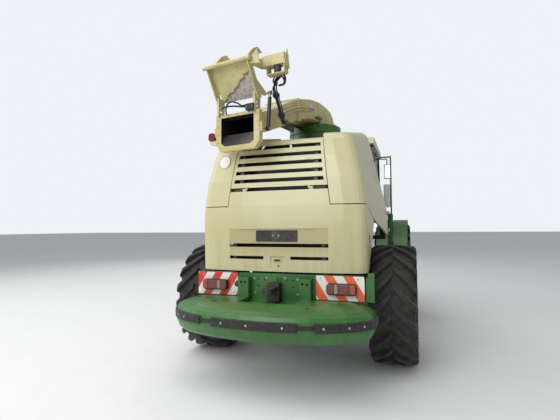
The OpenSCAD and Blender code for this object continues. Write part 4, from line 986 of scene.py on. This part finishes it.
def flange_bolts():
    mesh = bmesh.new()
    for x in (-0.6, -0.42, 0.42, 0.6):
        for z in (0.46, 0.7, 0.95, 1.19):
            place, facing = touch("feeder_house", (x, AHEAD, z), -Y)
            bolt(mesh, place - Y * 0.0135, facing, 0.010)
    piece("flange_bolts", mesh, [steel], "chassis", "steel")


def edge_power(value, power):
    """1 in the middle, falling to 0 at either edge."""
    return max(0.0, 1 - abs(value) ** power) ** 0.42


def cushion(name, centre, right, up, width, height, thick, seam):
    """A stuffed cushion, crowned on both sides, with two sewn grooves and a corded edge."""
    right, up = Vector(right).normalized(), Vector(up).normalized()
    out = right.cross(up)
    centre = Vector(centre)
    columns, rows = 36, 48
    mesh = bmesh.new()
    rings = []
    for n in range(rows + 1):
        v = -0.9995 + 1.999 * n / rows
        front, back = [], []
        for k in range(columns + 1):
            u = -1 + 2 * k / columns
            swell = edge_power(u, 5) * edge_power(v, 5)
            groove = math.exp(-((abs(u) - seam) / 0.035) ** 2) * 0.012
            crease = 0.0025 * math.sin(11 * u + 3 * v) * math.sin(7 * v - 2 * u)
            flat = centre + right * (u * width / 2) + up * (v * height / 2)
            front.append(flat + out * (thick * 0.78 * swell - (groove - crease) * swell))
            back.append(flat - out * (thick * 0.22 * swell))
        rings.append(front + back[-2:0:-1])
    skin(mesh, rings)
    border = []
    for a in circle(120):
        u, v = (math.copysign(abs(t) ** 0.22, t) for t in (math.cos(a), math.sin(a)))
        border.append(centre + right * (u * width / 2) + up * (v * height / 2))
    tube(mesh, border + border[:1], 0.005, 8, 1)
    made = piece(name, mesh, [cloth, plastic], "chassis", "cloth", "seat")


def seat_pedestal():
    mesh = bmesh.new()
    block(mesh, (0, 1.150, 2.010), Y, X, (0.30, 0.30, 0.20), 0.03, 0.006)
    block(mesh, (0, 1.150, 2.200), Y, X, (0.36, 0.40, 0.10), 0.04, 0.006)
    block(mesh, (0, 0.885, 2.330), X, Z, (0.30, 0.70, 0.03), 0.05, 0.006)
    piece("seat_pedestal", mesh, [plastic], "chassis", "black_plastic", "seat")


mirror_faces()
roof_lamps()
door_handle()
flange_bolts()
cushion("seat_cushion", (0, 1.160, 2.335), X, (0, 1, 0.04), 0.49, 0.50, 0.115, 0.55)
cushion("seat_back", (0, 0.905, 2.735), -X, (0, -0.16, 1), 0.47, 0.62, 0.10, 0.55)
seat_pedestal()


# Floor and light

FLOOR_REACH = 150
FLOOR_HEIGHT = -0.001
AIR_COLOUR = (0.93, 0.96, 1.0)
# Strength of the air as light on the machine, and as seen by the camera and through glass
AIR_LIGHT = 0.46
AIR_SEEN = 0.92
LAMP_AIM = Vector((0, 0, 1.5))
LAMPS = [
    # name, place, size, power
    ("sky_panel", (-3, -5, 11), 12, 760),
    ("rear_panel", (-3, -14, 7), 8, 620),
    ("side_panel", (-12, -2, 8), 8, 300),
    ("front_panel", (-7, 12, 9), 8, 380),
]


def studio_floor():
    mesh = bmesh.new()
    ends = (-FLOOR_REACH, FLOOR_REACH)
    rings = [[(x, y, FLOOR_HEIGHT) for x in ends] for y in ends]
    skin(mesh, rings, closed_ring=False, smooth=False)
    data = bpy.data.meshes.new("studio_floor")
    mesh.to_mesh(data)
    mesh.free()
    coat = Coat("studio_floor")
    grain = coat.noise(3, 4)
    data.materials.append(coat.set(base_color=coat.blend(grain, (0.76, 0.76, 0.75), (0.82, 0.82, 0.81)),
                                   roughness=0.9 - grain * 0.05))
    made = bpy.data.objects.new("studio_floor", data)
    bpy.context.scene.collection.objects.link(made)


def studio_air():
    world = bpy.data.worlds.new("studio_air")
    bpy.context.scene.world = world
    world.use_nodes = True
    air = Shading(world.node_tree)
    rays = (air.node("ShaderNodeLightPath", output=ray) for ray in ("Is Camera Ray", "Is Transmission Ray"))
    camera, through = rays
    seen = camera.maths("MAXIMUM", camera, through)
    air.feed(world.node_tree.nodes["Background"],
             {"Color": AIR_COLOUR, "Strength": AIR_LIGHT + seen * (AIR_SEEN - AIR_LIGHT)})


def studio_lamps():
    for name, place, size, power in LAMPS:
        lamp = bpy.data.lights.new(name, "AREA")
        lamp.size, lamp.energy = size, power
        made = bpy.data.objects.new(name, lamp)
        bpy.context.scene.collection.objects.link(made)
        made.location = place
        made.rotation_euler = (LAMP_AIM - Vector(place)).to_track_quat("-Z", "Y").to_euler()


studio_floor()
studio_air()
studio_lamps()
bpy.context.scene.view_settings.view_transform = "Standard"
